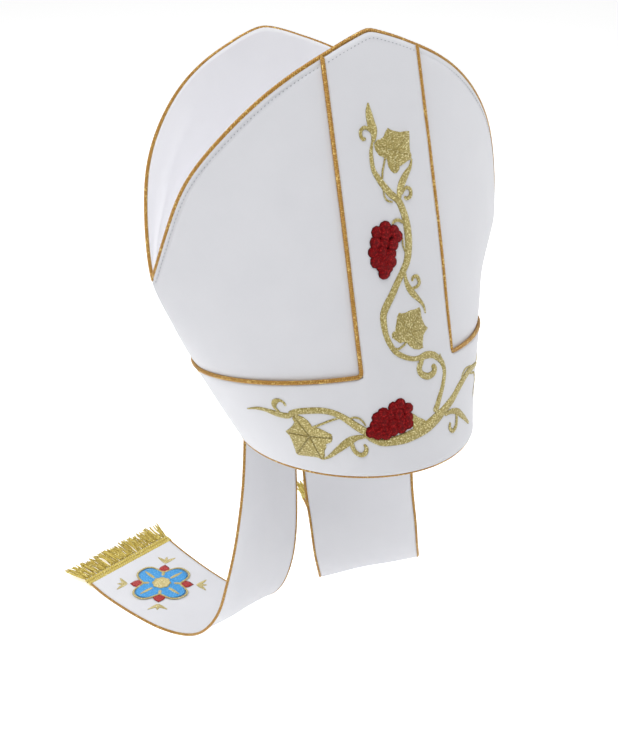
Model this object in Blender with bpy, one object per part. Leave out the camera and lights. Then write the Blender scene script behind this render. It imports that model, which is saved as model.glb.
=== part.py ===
"""Bishop's mitre with two lappets, in the form it keeps while it is worn.

Metres, +Z up, front towards -Y. The origin is the centre of the rim opening, where the head goes in.
The hat's own shape is worked out upright, with its rim level, and an empty then tips it back.
"""

import math

import bmesh
import bpy
from mathutils import Vector

# Crown
RIM_HALF_DEPTH = 0.0967
RIM_DIP = 0.0045
FORK_HEIGHT = 0.1360
FORK_HALF_WIDTH = 0.1415
PEAK_HEIGHT = 0.2845
SIDE_LEAN = 0.0120
TIP_BACK = math.radians(10.0)
HORN_WALL = 0.0024

# Band across the brow and up the middle
BAND_HEIGHT = 0.0660
STRIP_HALF_WIDTH = 0.0360
STRIP_TOP_HALF_WIDTH = 0.0343
BAND_WALL = 0.0010

# Cloth between the horns
GUSSET_WALL = 0.0012
GUSSET_SAG = 0.0200

# Piping
PIPING_RADIUS = 0.0015
RIM_PIPING_RADIUS = 0.0012
LAPPET_PIPING_RADIUS = 0.0012
PIPING_CORNER = 0.0030

# Lappets and fringes
LAPPET_WIDTH = 0.0920
LAPPET_WALL = 0.0018
LAPPET_TUCK = 0.0120
LAPPET_FALL = 0.2350
LAPPET_REACH = 0.1470
FRINGE_LENGTH = 0.0290
FRINGE_HEAD = 0.0065
FRINGE_THICKNESS = 0.0024
FRINGE_SPREAD = 0.0050
FRINGE_LOCKS = 17

# Embroidery
THREAD_LIFT = 0.0007
BERRY_LIFT = 0.0016
BERRY_SIZE = 0.0054
LEAF_SIZE = 0.0155
ROSETTE_RADIUS = 0.0310
ROSETTE_BACK = 0.0500

# Clearances between pieces
SEAM_GAP = 0.0003
LAYER_GAP = 0.0006
GUSSET_GAP = 0.0007
LEAF_GAP = 0.0006

# Fineness of the faceted walls
HORN_COLUMNS = 24
HORN_ROWS = 9
WING_COLUMNS = 10
STRIP_COLUMNS = 6
BAND_ROWS = 4
STRIP_ROWS = 8
GUSSET_ROWS = 10
LAPPET_COLUMNS = 4

FRONT = -1
BACK = 1
RIGHT = -1
LEFT = 1

# Rows of the crown's section from rim to fork, at shares of FORK_HEIGHT, and one more at the peak
WIDTH_ROWS = (
    # height, half width on the wearer's right and left: shares of FORK_HALF_WIDTH
    (0.00, 0.607, 0.575),
    (0.35, 0.762, 0.676),
    (0.70, 0.908, 0.821),
    (1.00, 1.000, 0.993),
)
PEAK_WIDTHS = (1.057, 1.050)
DEPTH_ROWS = (
    # height, depth in front and behind: shares of RIM_HALF_DEPTH
    (0.00, 1.000, 1.000),
    (0.50, 0.934, 0.935),
    (1.00, 0.917, 0.950),
)
PEAK_DEPTHS = (0.828, 0.786)
# Fullness 0.5 is an ellipse, and more is flatter towards the side seams
FULLNESS_ROWS = (
    # height, fullness in front and behind
    (0.00, 0.500, 0.500),
    (0.50, 0.566, 0.522),
    (1.00, 0.880, 0.760),
)
PEAK_FULLNESS = (0.572, 0.572)

# The horn's outline from the fork to the peak
OUTLINE_ROWS = (
    # height above the fork, half width
    (0.00, 1.000),
    (0.20, 0.943),
    (0.42, 0.858),
    (0.65, 0.668),
    (0.85, 0.394),
    (1.00, 0.000),
)

# The trough between the horns: the share of its rows and of its rise that its bend takes
GUSSET_BEND = 0.5
GUSSET_BEND_RISE = 0.42

# The lappet's middle line below the rim, for the wearer's right
LAPPET_ROWS = (
    # down: share of LAPPET_FALL, back: share of LAPPET_REACH, out: share of LAPPET_WIDTH,
    # turn: how far the outer edge comes forward, in degrees, roll: how far it lifts, in degrees,
    # bow: how far the middle stands out, as a share of LAPPET_WIDTH
    (0.220, 0.000, 0.445, 37.0, 0.0, 0.115),
    (0.460, -0.010, 0.490, 31.0, 0.0, 0.080),
    (0.640, -0.015, 0.550, 25.0, 0.0, 0.050),
    (0.780, 0.005, 0.610, 22.0, 2.0, 0.030),
    (0.890, 0.060, 0.700, 19.0, 5.0, 0.015),
    (0.960, 0.165, 0.800, 17.0, 7.0, 0.006),
    (0.988, 0.330, 0.950, 16.0, 6.5, 0.000),
    (0.994, 0.545, 1.100, 16.0, 4.5, 0.000),
    (0.998, 0.800, 1.235, 16.0, 1.5, 0.000),
    (1.000, 1.000, 1.315, 16.0, 0.0, 0.000),
)
LAPPET_HINGE_DEPTH = 0.71
LAPPET_EDGE_ANGLES = (math.radians(61.0), math.radians(2.5))

# Embroidery places count across and up the band: across 1 is the strip's edge and 2 is the side
# seam, up 1 is the brow band's top and 2 is the peak. Widths are in metres.
STEM_ROWS = (
    # across, up, width
    (-0.26, 1.686, 0.0016),
    (-0.34, 1.625, 0.0024),
    (-0.20, 1.567, 0.0030),
    (0.06, 1.521, 0.0034),
    (0.27, 1.462, 0.0038),
    (0.25, 1.380, 0.0042),
    (0.16, 1.320, 0.0042),
    (-0.11, 1.270, 0.0040),
    (-0.27, 1.232, 0.0038),
    (-0.45, 1.195, 0.0038),
    (-0.46, 1.140, 0.0040),
    (-0.42, 1.092, 0.0040),
    (-0.30, 1.052, 0.0040),
    (-0.06, 1.028, 0.0036),
    (0.24, 1.020, 0.0034),
    (0.50, 1.020, 0.0034),
    (0.68, 0.985, 0.0036),
    (0.74, 0.885, 0.0038),
    (0.62, 0.715, 0.0040),
    (0.42, 0.545, 0.0040),
)
STEM_CURL_ROWS = (
    (0.420, 1.0020, 0.0030),
    (0.280, 0.9900, 0.0024),
    (0.200, 0.9400, 0.0020),
    (0.290, 0.8850, 0.0018),
    (0.400, 0.9000, 0.0016),
)
BASE_ROWS = (
    (-0.92, 0.355, 0.0030),
    (-0.66, 0.285, 0.0062),
    (-0.24, 0.295, 0.0070),
    (0.17, 0.355, 0.0062),
    (0.45, 0.442, 0.0052),
    (0.93, 0.575, 0.0046),
    (1.200, 0.635, 0.0040),
    (1.380, 0.665, 0.0034),
    (1.520, 0.665, 0.0028),
    (1.600, 0.620, 0.0020),
)
LEFT_BRANCH_ROWS = (
    (-1.110, 0.415, 0.0036),
    (-1.180, 0.520, 0.0040),
    (-1.255, 0.615, 0.0040),
    (-1.370, 0.695, 0.0036),
    (-1.540, 0.705, 0.0032),
    (-1.620, 0.650, 0.0022),
)
LEAFLETS = (
    # name, first across, first up, last across, last up, bend, widest
    ("vine_leaflet_top", 0.24, 1.520, 0.56, 1.610, 0.20, 0.0052),
    ("vine_leaflet_middle", 0.08, 1.258, 0.42, 1.186, -0.18, 0.0056),
    ("vine_leaflet_left", -1.100, 0.360, -1.370, 0.130, 0.18, 0.0056),
    ("vine_leaflet_right", 0.64, 0.385, 1.230, 0.140, -0.16, 0.0056),
    ("vine_bud_top", -0.22, 1.702, -0.17, 1.790, 0.25, 0.0058),
    ("vine_bud_left", -1.645, 0.680, -1.880, 0.740, 0.15, 0.0066),
    ("vine_bud_right", 1.630, 0.690, 1.760, 0.760, -0.15, 0.0056),
)
LEAVES = (
    # name, across, up, turn of the tip to the left from straight up in degrees, share of LEAF_SIZE
    ("vine_leaf_top", 0.13, 1.655, -35.0, 1.03),
    ("vine_leaf_middle", 0.03, 1.105, -54.0, 0.94),
    ("vine_leaf_left", -1.53, 0.410, 133.0, 1.15),
)
# Half a vine leaf's outline, from its tip round to its stalk
LEAF_ROWS = (
    # turn from the tip in degrees, reach as a share of the leaf's size
    (0.0, 1.06),
    (24.0, 0.70),
    (52.0, 1.00),
    (84.0, 0.66),
    (120.0, 0.90),
    (158.0, 0.52),
)
LEAF_STALK = 0.95
LEAF_STALK_HALF_ANGLE = 5.0
GRAPES = (
    # name, across, up, lean of the bunch in degrees
    ("vine_grapes_upper", -0.30, 1.375, 9.0),
    ("vine_grapes_base", -0.60, 0.540, 65.0),
)
BERRY_COUNTS = (3, 4, 5, 4, 3, 2, 1)


def end_tangent(steps, slopes):
    """The slope at the end of a smooth curve, from its first two spans."""
    tangent = (2.0 * steps[0] + steps[1]) * slopes[0] - steps[0] * slopes[1]
    tangent /= steps[0] + steps[1]
    if tangent * slopes[0] <= 0.0:
        return 0.0
    if slopes[0] * slopes[1] < 0.0 and abs(tangent) > 3.0 * abs(slopes[0]):
        return 3.0 * slopes[0]
    return tangent


def between(rows, at):
    """A smooth curve through rows of (place, value) that never passes beyond them."""
    places = [row[0] for row in rows]
    values = [row[1] for row in rows]
    steps = [b - a for a, b in zip(places, places[1:])]
    slopes = [(b - a) / step for a, b, step in zip(values, values[1:], steps)]
    tangents = [end_tangent(steps, slopes)]
    for i in range(1, len(steps)):
        near = 2.0 * steps[i] + steps[i - 1]
        far = steps[i] + 2.0 * steps[i - 1]
        agree = slopes[i - 1] * slopes[i] > 0.0
        mean = (near + far) / (near / slopes[i - 1] + far / slopes[i]) if agree else 0.0
        tangents.append(mean)
    tangents.append(end_tangent(steps[::-1], slopes[::-1]))
    at = min(max(at, places[0]), places[-1])
    span = max(i for i in range(len(steps)) if places[i] <= at or i == 0)
    t = (at - places[span]) / steps[span]
    start = values[span] * (1.0 + 2.0 * t) + tangents[span] * steps[span] * t
    end = values[span + 1] * (3.0 - 2.0 * t) - tangents[span + 1] * steps[span] * (1.0 - t)
    return start * (1.0 - t) ** 2 + end * t**2


def through(points, per_span):
    """A rounded path through a list of vectors, with per_span steps between each two."""
    ends = [points[0] * 2 - points[1]] + list(points) + [points[-1] * 2 - points[-2]]
    path = []
    for a, b, c, d in zip(ends, ends[1:], ends[2:], ends[3:]):
        for step in range(per_span):
            t = step / per_span
            path.append(
                0.5 * (2 * b + (c - a) * t + (2 * a - 5 * b + 4 * c - d) * t**2)
                + 0.5 * (3 * b - a - 3 * c + d) * t**3
            )
    return path + [points[-1]]


def crown_row(table, peak, column, height):
    """What a column of one of the crown's tables gives at a height."""
    rows = [(row[0] * FORK_HEIGHT, row[1 + column]) for row in table]
    return between(rows + [(PEAK_HEIGHT, peak[column])], height)


def half_width(height, hand):
    """The crown's width from its middle to one side seam at a height."""
    return FORK_HALF_WIDTH * crown_row(WIDTH_ROWS, PEAK_WIDTHS, int(hand == LEFT), height)


def half_depth(side, height):
    """The crown's depth from the side seams to the front or the back at a height."""
    return RIM_HALF_DEPTH * crown_row(DEPTH_ROWS, PEAK_DEPTHS, int(side == BACK), height)


def fullness(side, height):
    """How squarely the crown's section turns at the side seams."""
    return crown_row(FULLNESS_ROWS, PEAK_FULLNESS, int(side == BACK), height)


def hand_of(share):
    """Which of the wearer's hands a place lies towards."""
    return RIGHT if share < 0.0 else LEFT


def crown(side, share, height, lift=0.0):
    """The point of the horn's outer face at a share of the half width, moved out by lift."""
    across = (half_width(height, hand_of(share)) + lift) * share
    roundness = max(1.0 - share * share, 0.0) ** fullness(side, height)
    depth = (half_depth(side, height) + lift) * roundness + SEAM_GAP / 2
    return Vector((across, side * depth + SIDE_LEAN * height / FORK_HEIGHT, height))


def rim_height(side, share):
    """The rim dips a little at the brow."""
    return -RIM_DIP * (1.0 - share * share) if side == FRONT else 0.0


def outline(height):
    """Half the horn's width between its edges at a height above the fork."""
    rows = [
        (FORK_HEIGHT + up * (PEAK_HEIGHT - FORK_HEIGHT), reach * FORK_HALF_WIDTH)
        for up, reach in OUTLINE_ROWS
    ]
    return between(rows, height)


def edge_height(reach):
    """The height where a column, whose distance out is reach(height), meets the horn's outline."""
    low = FORK_HEIGHT
    high = PEAK_HEIGHT
    for _ in range(40):
        middle = (low + high) / 2
        if outline(middle) > reach(middle):
            low = middle
        else:
            high = middle
    return (low + high) / 2


def horn_edge(side, share, lift=0.0):
    """The outline's point on the column at a share of the half width."""
    height = edge_height(lambda z: abs(share) * half_width(z, hand_of(share)))
    return crown(side, share, height, lift)


def wall_top(side, share):
    """The height of the wall's top edge, which stays below the piping that runs on the outline."""
    step = 0.01 if share < 0 else -0.01
    edge = horn_edge(side, share)
    along = (horn_edge(side, share + step) - edge).normalized()
    down = (crown(side, share, edge.z - 0.001) - edge).normalized()
    room = PIPING_RADIUS + LAYER_GAP
    return edge.z - room / max(along.cross(down).length, 0.35)


def strip_half_width(height):
    """Half the width of the strip up the middle, between the middles of its pipings."""
    up = (height - BAND_HEIGHT) / (PEAK_HEIGHT - BAND_HEIGHT)
    return STRIP_HALF_WIDTH + (STRIP_TOP_HALF_WIDTH - STRIP_HALF_WIDTH) * min(max(up, 0.0), 1.0)


def on_band(across, up, lift):
    """A place on the band's outer face, counted across and up it as the embroidery tables do."""
    if up <= 1.0:
        height = up * BAND_HEIGHT
    else:
        height = BAND_HEIGHT + (up - 1.0) * (PEAK_HEIGHT - BAND_HEIGHT)
    strip = strip_half_width(height)
    beyond = max(abs(across) - 1.0, 0.0)
    wide = half_width(height, hand_of(across))
    reach = min(abs(across), 1.0) * strip + beyond * (wide - strip)
    share = math.copysign(reach, across) / wide
    return crown(FRONT, share, height, LAYER_GAP + BAND_WALL + lift)


def paint(thing, colour, roughness, metallic=0.0):
    """Gives a piece a material of its own."""
    material = bpy.data.materials.new(thing.name)
    material.use_nodes = True
    shader = material.node_tree.nodes["Principled BSDF"]
    shader.inputs["Base Color"].default_value = (*colour, 1.0)
    shader.inputs["Roughness"].default_value = roughness
    shader.inputs["Metallic"].default_value = metallic
    thing.data.materials.append(material)


def keep(name, mesh, finish, parent):
    """Turns a bmesh into a named piece."""
    bmesh.ops.recalc_face_normals(mesh, faces=mesh.faces[:])
    data = bpy.data.meshes.new(name)
    mesh.to_mesh(data)
    mesh.free()
    thing = bpy.data.objects.new(name, data)
    bpy.context.scene.collection.objects.link(thing)
    thing.parent = parent
    data.shade_smooth()
    data.set_sharp_from_angle(angle=math.radians(40.0))
    paint(thing, *finish)
    return thing


def slab(name, cells, face, back, finish, parent=None):
    """A closed wall. Each cell lists its corners, which face and back place on its two sides."""
    mesh = bmesh.new()
    number = mesh.verts.layers.int.new("corner")
    keys = []
    corners = {}
    for cell in cells:
        for key in cell:
            if key not in corners:
                corners[key] = mesh.verts.new(face(*key))
                corners[key][number] = len(keys)
                keys.append(key)
        mesh.faces.new([corners[key] for key in cell])
    made = bmesh.ops.extrude_face_region(mesh, geom=mesh.faces[:], use_keep_orig=True)["geom"]
    for vertex in made:
        if isinstance(vertex, bmesh.types.BMVert):
            vertex.co = back(*keys[vertex[number]])
    return keep(name, mesh, finish, parent)


def grid(rows, columns):
    """The cells of a full grid."""
    return [
        ((i, j), (i, j + 1), (i + 1, j + 1), (i + 1, j)) for i in range(rows) for j in range(columns)
    ]


def pipe(name, points, radius, finish, parent=None, closed=False):
    """A round piping along a path."""
    curve = bpy.data.curves.new(name, "CURVE")
    curve.dimensions = "3D"
    curve.bevel_depth = radius
    curve.bevel_resolution = 1
    curve.use_fill_caps = not closed
    spline = curve.splines.new("POLY")
    spline.points.add(len(points) - 1)
    for point, place in zip(spline.points, points):
        point.co = (*place, 1.0)
    spline.use_cyclic_u = closed
    thing = bpy.data.objects.new(name, curve)
    bpy.context.scene.collection.objects.link(thing)
    thing.parent = parent
    paint(thing, *finish)
    return thing


WHITE_CLOTH = ((0.86, 0.86, 0.87), 0.55)
LINING = ((0.80, 0.80, 0.81), 0.6)
GOLD_PIPING = ((0.50, 0.27, 0.05), 0.4, 0.3)
GOLD_THREAD = ((0.45, 0.38, 0.11), 0.45, 0.2)
GRAPE_THREAD = ((0.36, 0.01, 0.02), 0.6)
FRINGE_THREAD = ((0.65, 0.52, 0.10), 0.5)
BLUE_THREAD = ((0.05, 0.40, 0.83), 0.5)
RED_THREAD = ((0.48, 0.02, 0.02), 0.5)


def horn_shares():
    """Where the horn's columns stand, as shares of the half width."""
    return [math.sin(math.pi * (j / HORN_COLUMNS - 0.5)) for j in range(HORN_COLUMNS + 1)]


ROSETTE_LAYERS = (
    # name, petals, turn of the first petal in degrees, radius as a share of ROSETTE_RADIUS,
    # depth of the notches between petals, their sharpness, finish
    ("star", 4, 45.0, 1.00, 0.62, 0.7, RED_THREAD),
    ("petals", 4, 0.0, 0.95, 0.42, 1.6, BLUE_THREAD),
    ("boss", 8, 0.0, 0.30, 0.12, 1.6, GOLD_THREAD),
)
ROSETTE_POINTS = 32


def make_horn(name, side, parent):
    """One stiff half of the crown, from the rim up to its pointed horn."""
    shares = horn_shares()
    tops = [wall_top(side, share) for share in shares]

    def place(i, j, lift):
        foot = rim_height(side, shares[j])
        return crown(side, shares[j], foot + (tops[j] - foot) * i / HORN_ROWS, lift)

    return slab(
        name,
        grid(HORN_ROWS, HORN_COLUMNS),
        lambda i, j: place(i, j, 0.0),
        lambda i, j: place(i, j, -HORN_WALL),
        WHITE_CLOTH,
        parent,
    )


def make_band(name, side, parent):
    """The brow band and the strip up the middle, cut as one inverted T and laid on the horn."""
    room = PIPING_RADIUS + SEAM_GAP
    band_top = BAND_HEIGHT - room
    last = 2 * WING_COLUMNS + STRIP_COLUMNS
    first_strip = WING_COLUMNS
    last_strip = WING_COLUMNS + STRIP_COLUMNS

    def share_at(j, height):
        strip = (strip_half_width(height) - room) / half_width(height, hand_of(j - last / 2))
        if first_strip <= j <= last_strip:
            return strip * (2.0 * (j - first_strip) / STRIP_COLUMNS - 1.0)
        outer = first_strip - j if j < first_strip else j - last_strip
        angle = math.asin(strip)
        angle += (math.pi / 2 - angle) * outer / WING_COLUMNS
        return math.copysign(math.sin(angle), j - last / 2)

    def strip_top(j):
        part = abs(2.0 * (j - first_strip) / STRIP_COLUMNS - 1.0)
        height = edge_height(lambda z: part * (strip_half_width(z) - room))
        return wall_top(side, share_at(j, height))

    tops = {j: strip_top(j) for j in range(first_strip, last_strip + 1)}

    def place(i, j, lift):
        if i <= BAND_ROWS:
            foot = rim_height(side, share_at(j, 0.0))
            height = foot + (band_top - foot) * i / BAND_ROWS
        else:
            height = band_top + (tops[j] - band_top) * (i - BAND_ROWS) / STRIP_ROWS
        share = share_at(j, height)
        return crown(side, share, height, lift)

    cells = [
        cell
        for cell in grid(BAND_ROWS + STRIP_ROWS, last)
        if cell[0][0] < BAND_ROWS or first_strip <= cell[0][1] < last_strip
    ]
    return slab(
        name,
        cells,
        lambda i, j: place(i, j, LAYER_GAP + BAND_WALL),
        lambda i, j: place(i, j, LAYER_GAP),
        WHITE_CLOTH,
        parent,
    )


def make_gusset(parent):
    """The cloth that joins the horns: down one inner face, across in a trough and up the other."""
    shares = horn_shares()[1:-1]
    columns = len(shares) - 1
    inside = -(HORN_WALL + GUSSET_GAP)
    half = GUSSET_ROWS // 2
    tops = {side: [wall_top(side, share) for share in shares] for side in (FRONT, BACK)}

    def place(i, j):
        side = FRONT if i < half else BACK
        part = abs(i - half) / half
        share = shares[j]
        bottom = FORK_HEIGHT - GUSSET_SAG * (1.0 - share * share)
        rise = tops[side][j] - bottom
        if part < GUSSET_BEND:
            turn = math.radians(90.0) * part / GUSSET_BEND
            height = bottom + GUSSET_BEND_RISE * rise * (1.0 - math.cos(turn))
            spread = math.sin(turn)
        else:
            above = (part - GUSSET_BEND) / (1.0 - GUSSET_BEND)
            height = bottom + rise * (GUSSET_BEND_RISE + (1.0 - GUSSET_BEND_RISE) * above)
            spread = 1.0
        wall = crown(side, share, height, inside)
        seam = SIDE_LEAN * height / FORK_HEIGHT
        return Vector((wall.x, seam + (wall.y - seam) * spread, height))

    mesh = bmesh.new()
    verts = {
        (i, j): mesh.verts.new(place(i, j))
        for i in range(GUSSET_ROWS + 1)
        for j in range(columns + 1)
    }
    for cell in grid(GUSSET_ROWS, columns):
        mesh.faces.new([verts[key] for key in cell])
    gusset = keep("crown_gusset", mesh, LINING, parent)
    wall = gusset.modifiers.new("wall", "SOLIDIFY")
    wall.thickness = GUSSET_WALL
    wall.offset = 1.0 if gusset.data.polygons[0].normal.y > 0.0 else -1.0
    return gusset


def make_crown_pipings(parent):
    """Piping on the horns' edges, round the T-shaped bands and under the rim."""
    across = [math.radians(85.0) * (j / 15 - 1.0) for j in range(31)]
    lay = SEAM_GAP + PIPING_RADIUS
    for word, side in (("front", FRONT), ("back", BACK)):
        edge = [horn_edge(side, math.sin(angle), -HORN_WALL / 2) for angle in across]
        pipe(f"{word}_edge_piping", edge, PIPING_RADIUS, GOLD_PIPING, parent)
        for hand, sign in (("right", RIGHT), ("left", LEFT)):
            path = band_piping_path(side, sign, lay)
            pipe(f"{word}_band_piping_{hand}", path, PIPING_RADIUS, GOLD_PIPING, parent)
    ring = []
    for step in range(36):
        angle = 2.0 * math.pi * (step + 0.5) / 36
        side = FRONT if math.cos(angle) > 0.0 else BACK
        share = math.sin(angle)
        place = crown(side, share, 0.0, 0.0)
        place.z = rim_height(side, share) - SEAM_GAP - RIM_PIPING_RADIUS
        ring.append(place)
    pipe("rim_piping", ring, RIM_PIPING_RADIUS, GOLD_PIPING, parent, closed=True)


def band_piping_path(side, sign, lay):
    """Down the strip's edge, round the inner corner and along the brow band to the side seam."""
    top = edge_height(strip_half_width) - 2.0 * (PIPING_RADIUS + SEAM_GAP)
    bend = BAND_HEIGHT + PIPING_CORNER
    path = []
    for step in range(11):
        height = top + (bend - top) * step / 10
        share = strip_half_width(height) / half_width(height, sign)
        path.append(crown(side, sign * share, height, lay))
    for turn in (30.0, 60.0):
        height = bend - PIPING_CORNER * math.sin(math.radians(turn))
        out = PIPING_CORNER * (1.0 - math.cos(math.radians(turn)))
        share = (strip_half_width(height) + out) / half_width(height, sign)
        path.append(crown(side, sign * share, height, lay))
    wide = half_width(BAND_HEIGHT, sign)
    first = math.asin((STRIP_HALF_WIDTH + PIPING_CORNER) / wide)
    for step in range(10):
        angle = first + (math.pi / 2 - first) * step / 9
        path.append(crown(side, sign * math.sin(angle), BAND_HEIGHT, lay))
    return path


def tipped(place):
    """A point of the upright hat where the tipped-back hat has it."""
    turn_cos = math.cos(TIP_BACK)
    turn_sin = math.sin(TIP_BACK)
    y = place.y * turn_cos + place.z * turn_sin
    return Vector((place.x, y, place.z * turn_cos - place.y * turn_sin))


def lappet_rows(sign):
    """The lappet's sections from its sewn top to its free end, each with points from the outer edge."""
    inside = -(HORN_WALL + LAYER_GAP)
    outer, inner = LAPPET_EDGE_ANGLES
    angles = [outer + (inner - outer) * j / LAPPET_COLUMNS for j in range(LAPPET_COLUMNS + 1)]
    rows = []
    for height in (LAPPET_TUCK, 0.5 * LAPPET_TUCK, 0.0):
        row = [tipped(crown(BACK, sign * math.sin(a), height, inside)) for a in angles]
        rows.append([Vector((-abs(place.x), place.y, place.z)) for place in row])
    hinge_y = LAPPET_HINGE_DEPTH * RIM_HALF_DEPTH
    hinge_z = -math.sin(TIP_BACK) * hinge_y
    for down, back, out, turn, roll, bow in LAPPET_ROWS:
        turn = math.radians(turn)
        roll = math.radians(roll)
        middle = Vector(
            (-out * LAPPET_WIDTH, hinge_y + back * LAPPET_REACH, hinge_z - down * LAPPET_FALL)
        )
        outward = Vector((-math.cos(turn), -math.sin(turn), 0.0)) * math.cos(roll)
        outward.z = math.sin(roll)
        away = Vector((-math.sin(turn), math.cos(turn), 0.0))
        row = []
        for j in range(LAPPET_COLUMNS + 1):
            part = 1.0 - 2.0 * j / LAPPET_COLUMNS
            stand = bow * LAPPET_WIDTH * (1.0 - part * part)
            row.append(middle + outward * part * LAPPET_WIDTH / 2 + away * stand)
        rows.append(row)
    columns = [through([row[j] for row in rows], 2) for j in range(LAPPET_COLUMNS + 1)]
    rows = [list(row) for row in zip(*columns)]
    if sign == LEFT:
        rows = [[Vector((-p.x, p.y, p.z)) for p in row] for row in rows]
    return rows


def make_lappet(hand, sign):
    """One lappet with a piping along each side, and the fringe and rosette at its end."""
    rows = lappet_rows(sign)
    mesh = bmesh.new()
    verts = [[mesh.verts.new(place) for place in row] for row in rows]
    for above, below in zip(verts, verts[1:]):
        for a, b, c, d in zip(above, above[1:], below[1:], below):
            mesh.faces.new((a, b, c, d))
    lappet = keep(f"lappet_{hand}", mesh, WHITE_CLOTH, None)
    wall = lappet.modifiers.new("wall", "SOLIDIFY")
    wall.thickness = LAPPET_WALL
    wall.offset = 1.0 if lappet.data.polygons[0].normal.y < 0.0 else -1.0
    reach = SEAM_GAP + LAPPET_PIPING_RADIUS
    first = 5
    for word, end, inner in (("outer", 0, 1), ("inner", -1, -2)):
        path = []
        for above, row, below in zip(rows[first - 1 :], rows[first:], rows[first + 1 :] + rows[-1:]):
            out = (row[end] - row[inner]).normalized()
            along = (below[end] - above[end]).normalized()
            normal = along.cross(out).normalized()
            normal = normal if normal.dot(Vector((0.0, -1.0, -0.2))) > 0.0 else -normal
            path.append(row[end] + out * reach + normal * LAPPET_WALL / 2)
        pipe(f"lappet_{hand}_piping_{word}", path, LAPPET_PIPING_RADIUS, GOLD_PIPING)
    make_fringe(hand, rows)
    make_rosette(hand, rows)


def tail_frame(rows):
    """The lappet end's middle, and its directions across, along and up."""
    last = rows[-1]
    middle = (last[0] + last[-1]) / 2
    across = (last[0] - last[-1]).normalized()
    along = middle - (rows[-3][0] + rows[-3][-1]) / 2
    along = (along - across * along.dot(across)).normalized()
    up = along.cross(across)
    up = up if up.z > 0.0 else -up
    return middle, across, along, up


def make_fringe(hand, rows):
    """A braid across the lappet's end with a row of cord locks, fused in one piece."""
    middle, across, along, up = tail_frame(rows)
    full = LAPPET_WIDTH + 2.0 * (2.0 * LAPPET_PIPING_RADIUS + SEAM_GAP)
    columns = 2 * FRINGE_LOCKS + 1
    pitch = full / FRINGE_LOCKS

    def flat(i, j):
        lock = j // 2
        place = (lock + (0.09 if j % 2 == 0 else 0.91)) * pitch - full / 2
        length = SEAM_GAP + FRINGE_HEAD * min(i, 1)
        if i > 1:
            centre = (lock + 0.5) * pitch - full / 2
            part = (i - 1) / 2
            fan = 2.0 * FRINGE_SPREAD * centre / full + 0.0012 * math.sin(2.4 * lock)
            place = centre + (place - centre) * (1.0 - 0.25 * part * part) + fan * part
            length += (FRINGE_LENGTH + 0.0018 * math.sin(1.7 * lock + 0.6)) * part
        return place, length

    def put(i, j, height):
        place, length = flat(i, j)
        droop = 0.0004 * max(i - 1, 0)
        return middle + across * place + along * length + up * (height - droop * (height > 0.0))

    cells = [cell for cell in grid(3, columns - 2) if cell[0][0] < 1 or cell[0][1] % 2 == 0]
    slab(
        f"fringe_{hand}",
        cells,
        lambda i, j: put(i, j, FRINGE_THICKNESS - LAPPET_WALL),
        lambda i, j: put(i, j, -LAPPET_WALL),
        FRINGE_THREAD,
    )


def disc(outline_points):
    """The cells of a fan round the middle of a closed outline."""
    ring = [(round(a, 6), round(b, 6)) for a, b in outline_points]
    return [((0.0, 0.0), a, b) for a, b in zip(ring, ring[1:] + ring[:1])]


def on_lappet(rows, across, back, lift):
    """A place on the lappet's upper face, by metres towards its outer edge and from its free end."""
    middle = LAPPET_COLUMNS // 2
    for upper, lower in zip(rows[-2::-1], rows[:0:-1]):
        span = (upper[middle] - lower[middle]).length
        if back <= span:
            break
        back -= span
    column = (0.5 - across / LAPPET_WIDTH) * LAPPET_COLUMNS
    first = min(max(int(column), 0), LAPPET_COLUMNS - 1)
    near = lower[first].lerp(lower[first + 1], column - first)
    far = upper[first].lerp(upper[first + 1], column - first)
    normal = (far - near).cross(lower[-1] - lower[0]).normalized()
    normal = normal if normal.z > 0.0 else -normal
    return near.lerp(far, back / span) + normal * lift


def make_rosette(hand, rows):
    """A stitched rosette in red, blue and gold, one layer on another, near the free end."""
    floor = LEAF_GAP
    for word, petals, turn, radius, notch, sharpness, finish in ROSETTE_LAYERS:
        ring = []
        for step in range(ROSETTE_POINTS):
            angle = 2.0 * math.pi * step / ROSETTE_POINTS
            dip = notch * (0.5 - 0.5 * math.cos(petals * angle)) ** sharpness
            reach = radius * ROSETTE_RADIUS * (1.0 - dip)
            heading = angle + math.radians(turn)
            ring.append((reach * math.cos(heading), reach * math.sin(heading)))

        def put(a, b, lift):
            return on_lappet(rows, a, ROSETTE_BACK + b, lift)

        slab(
            f"lappet_{hand}_{word}",
            disc(ring),
            lambda a, b, lift=floor + THREAD_LIFT / 2: put(a, b, lift),
            lambda a, b, lift=floor: put(a, b, lift),
            finish,
        )
        floor += THREAD_LIFT / 2 + SEAM_GAP


def band_steps(across, up):
    """How far one unit across and one unit up reach at a place on the band."""
    step = 0.01
    side = on_band(across + step, up, 0.0) - on_band(across - step, up, 0.0)
    rise = on_band(across, up + step, 0.0) - on_band(across, up - step, 0.0)
    return side / (2.0 * step), rise / (2.0 * step)


def ribbon(name, rows, per_span, parent):
    """A strip of satin stitch along a path of rows of across, up and width."""
    path = through([Vector(row) for row in rows], per_span)
    places = [on_band(p.x, p.y, 0.0) for p in path]

    def put(i, j, lift):
        along = places[min(i + 1, len(places) - 1)] - places[max(i - 1, 0)]
        side, rise = band_steps(path[i].x, path[i].y)
        aside = along.cross(side.cross(rise)).normalized() * (j - 0.5) * path[i].z
        across = path[i].x + aside.dot(side) / side.length_squared
        up = path[i].y + aside.dot(rise) / rise.length_squared
        return on_band(across, up, lift)

    slab(
        name,
        grid(len(places) - 1, 1),
        lambda i, j: put(i, j, SEAM_GAP + THREAD_LIFT),
        lambda i, j: put(i, j, SEAM_GAP),
        GOLD_THREAD,
        parent,
    )


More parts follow.
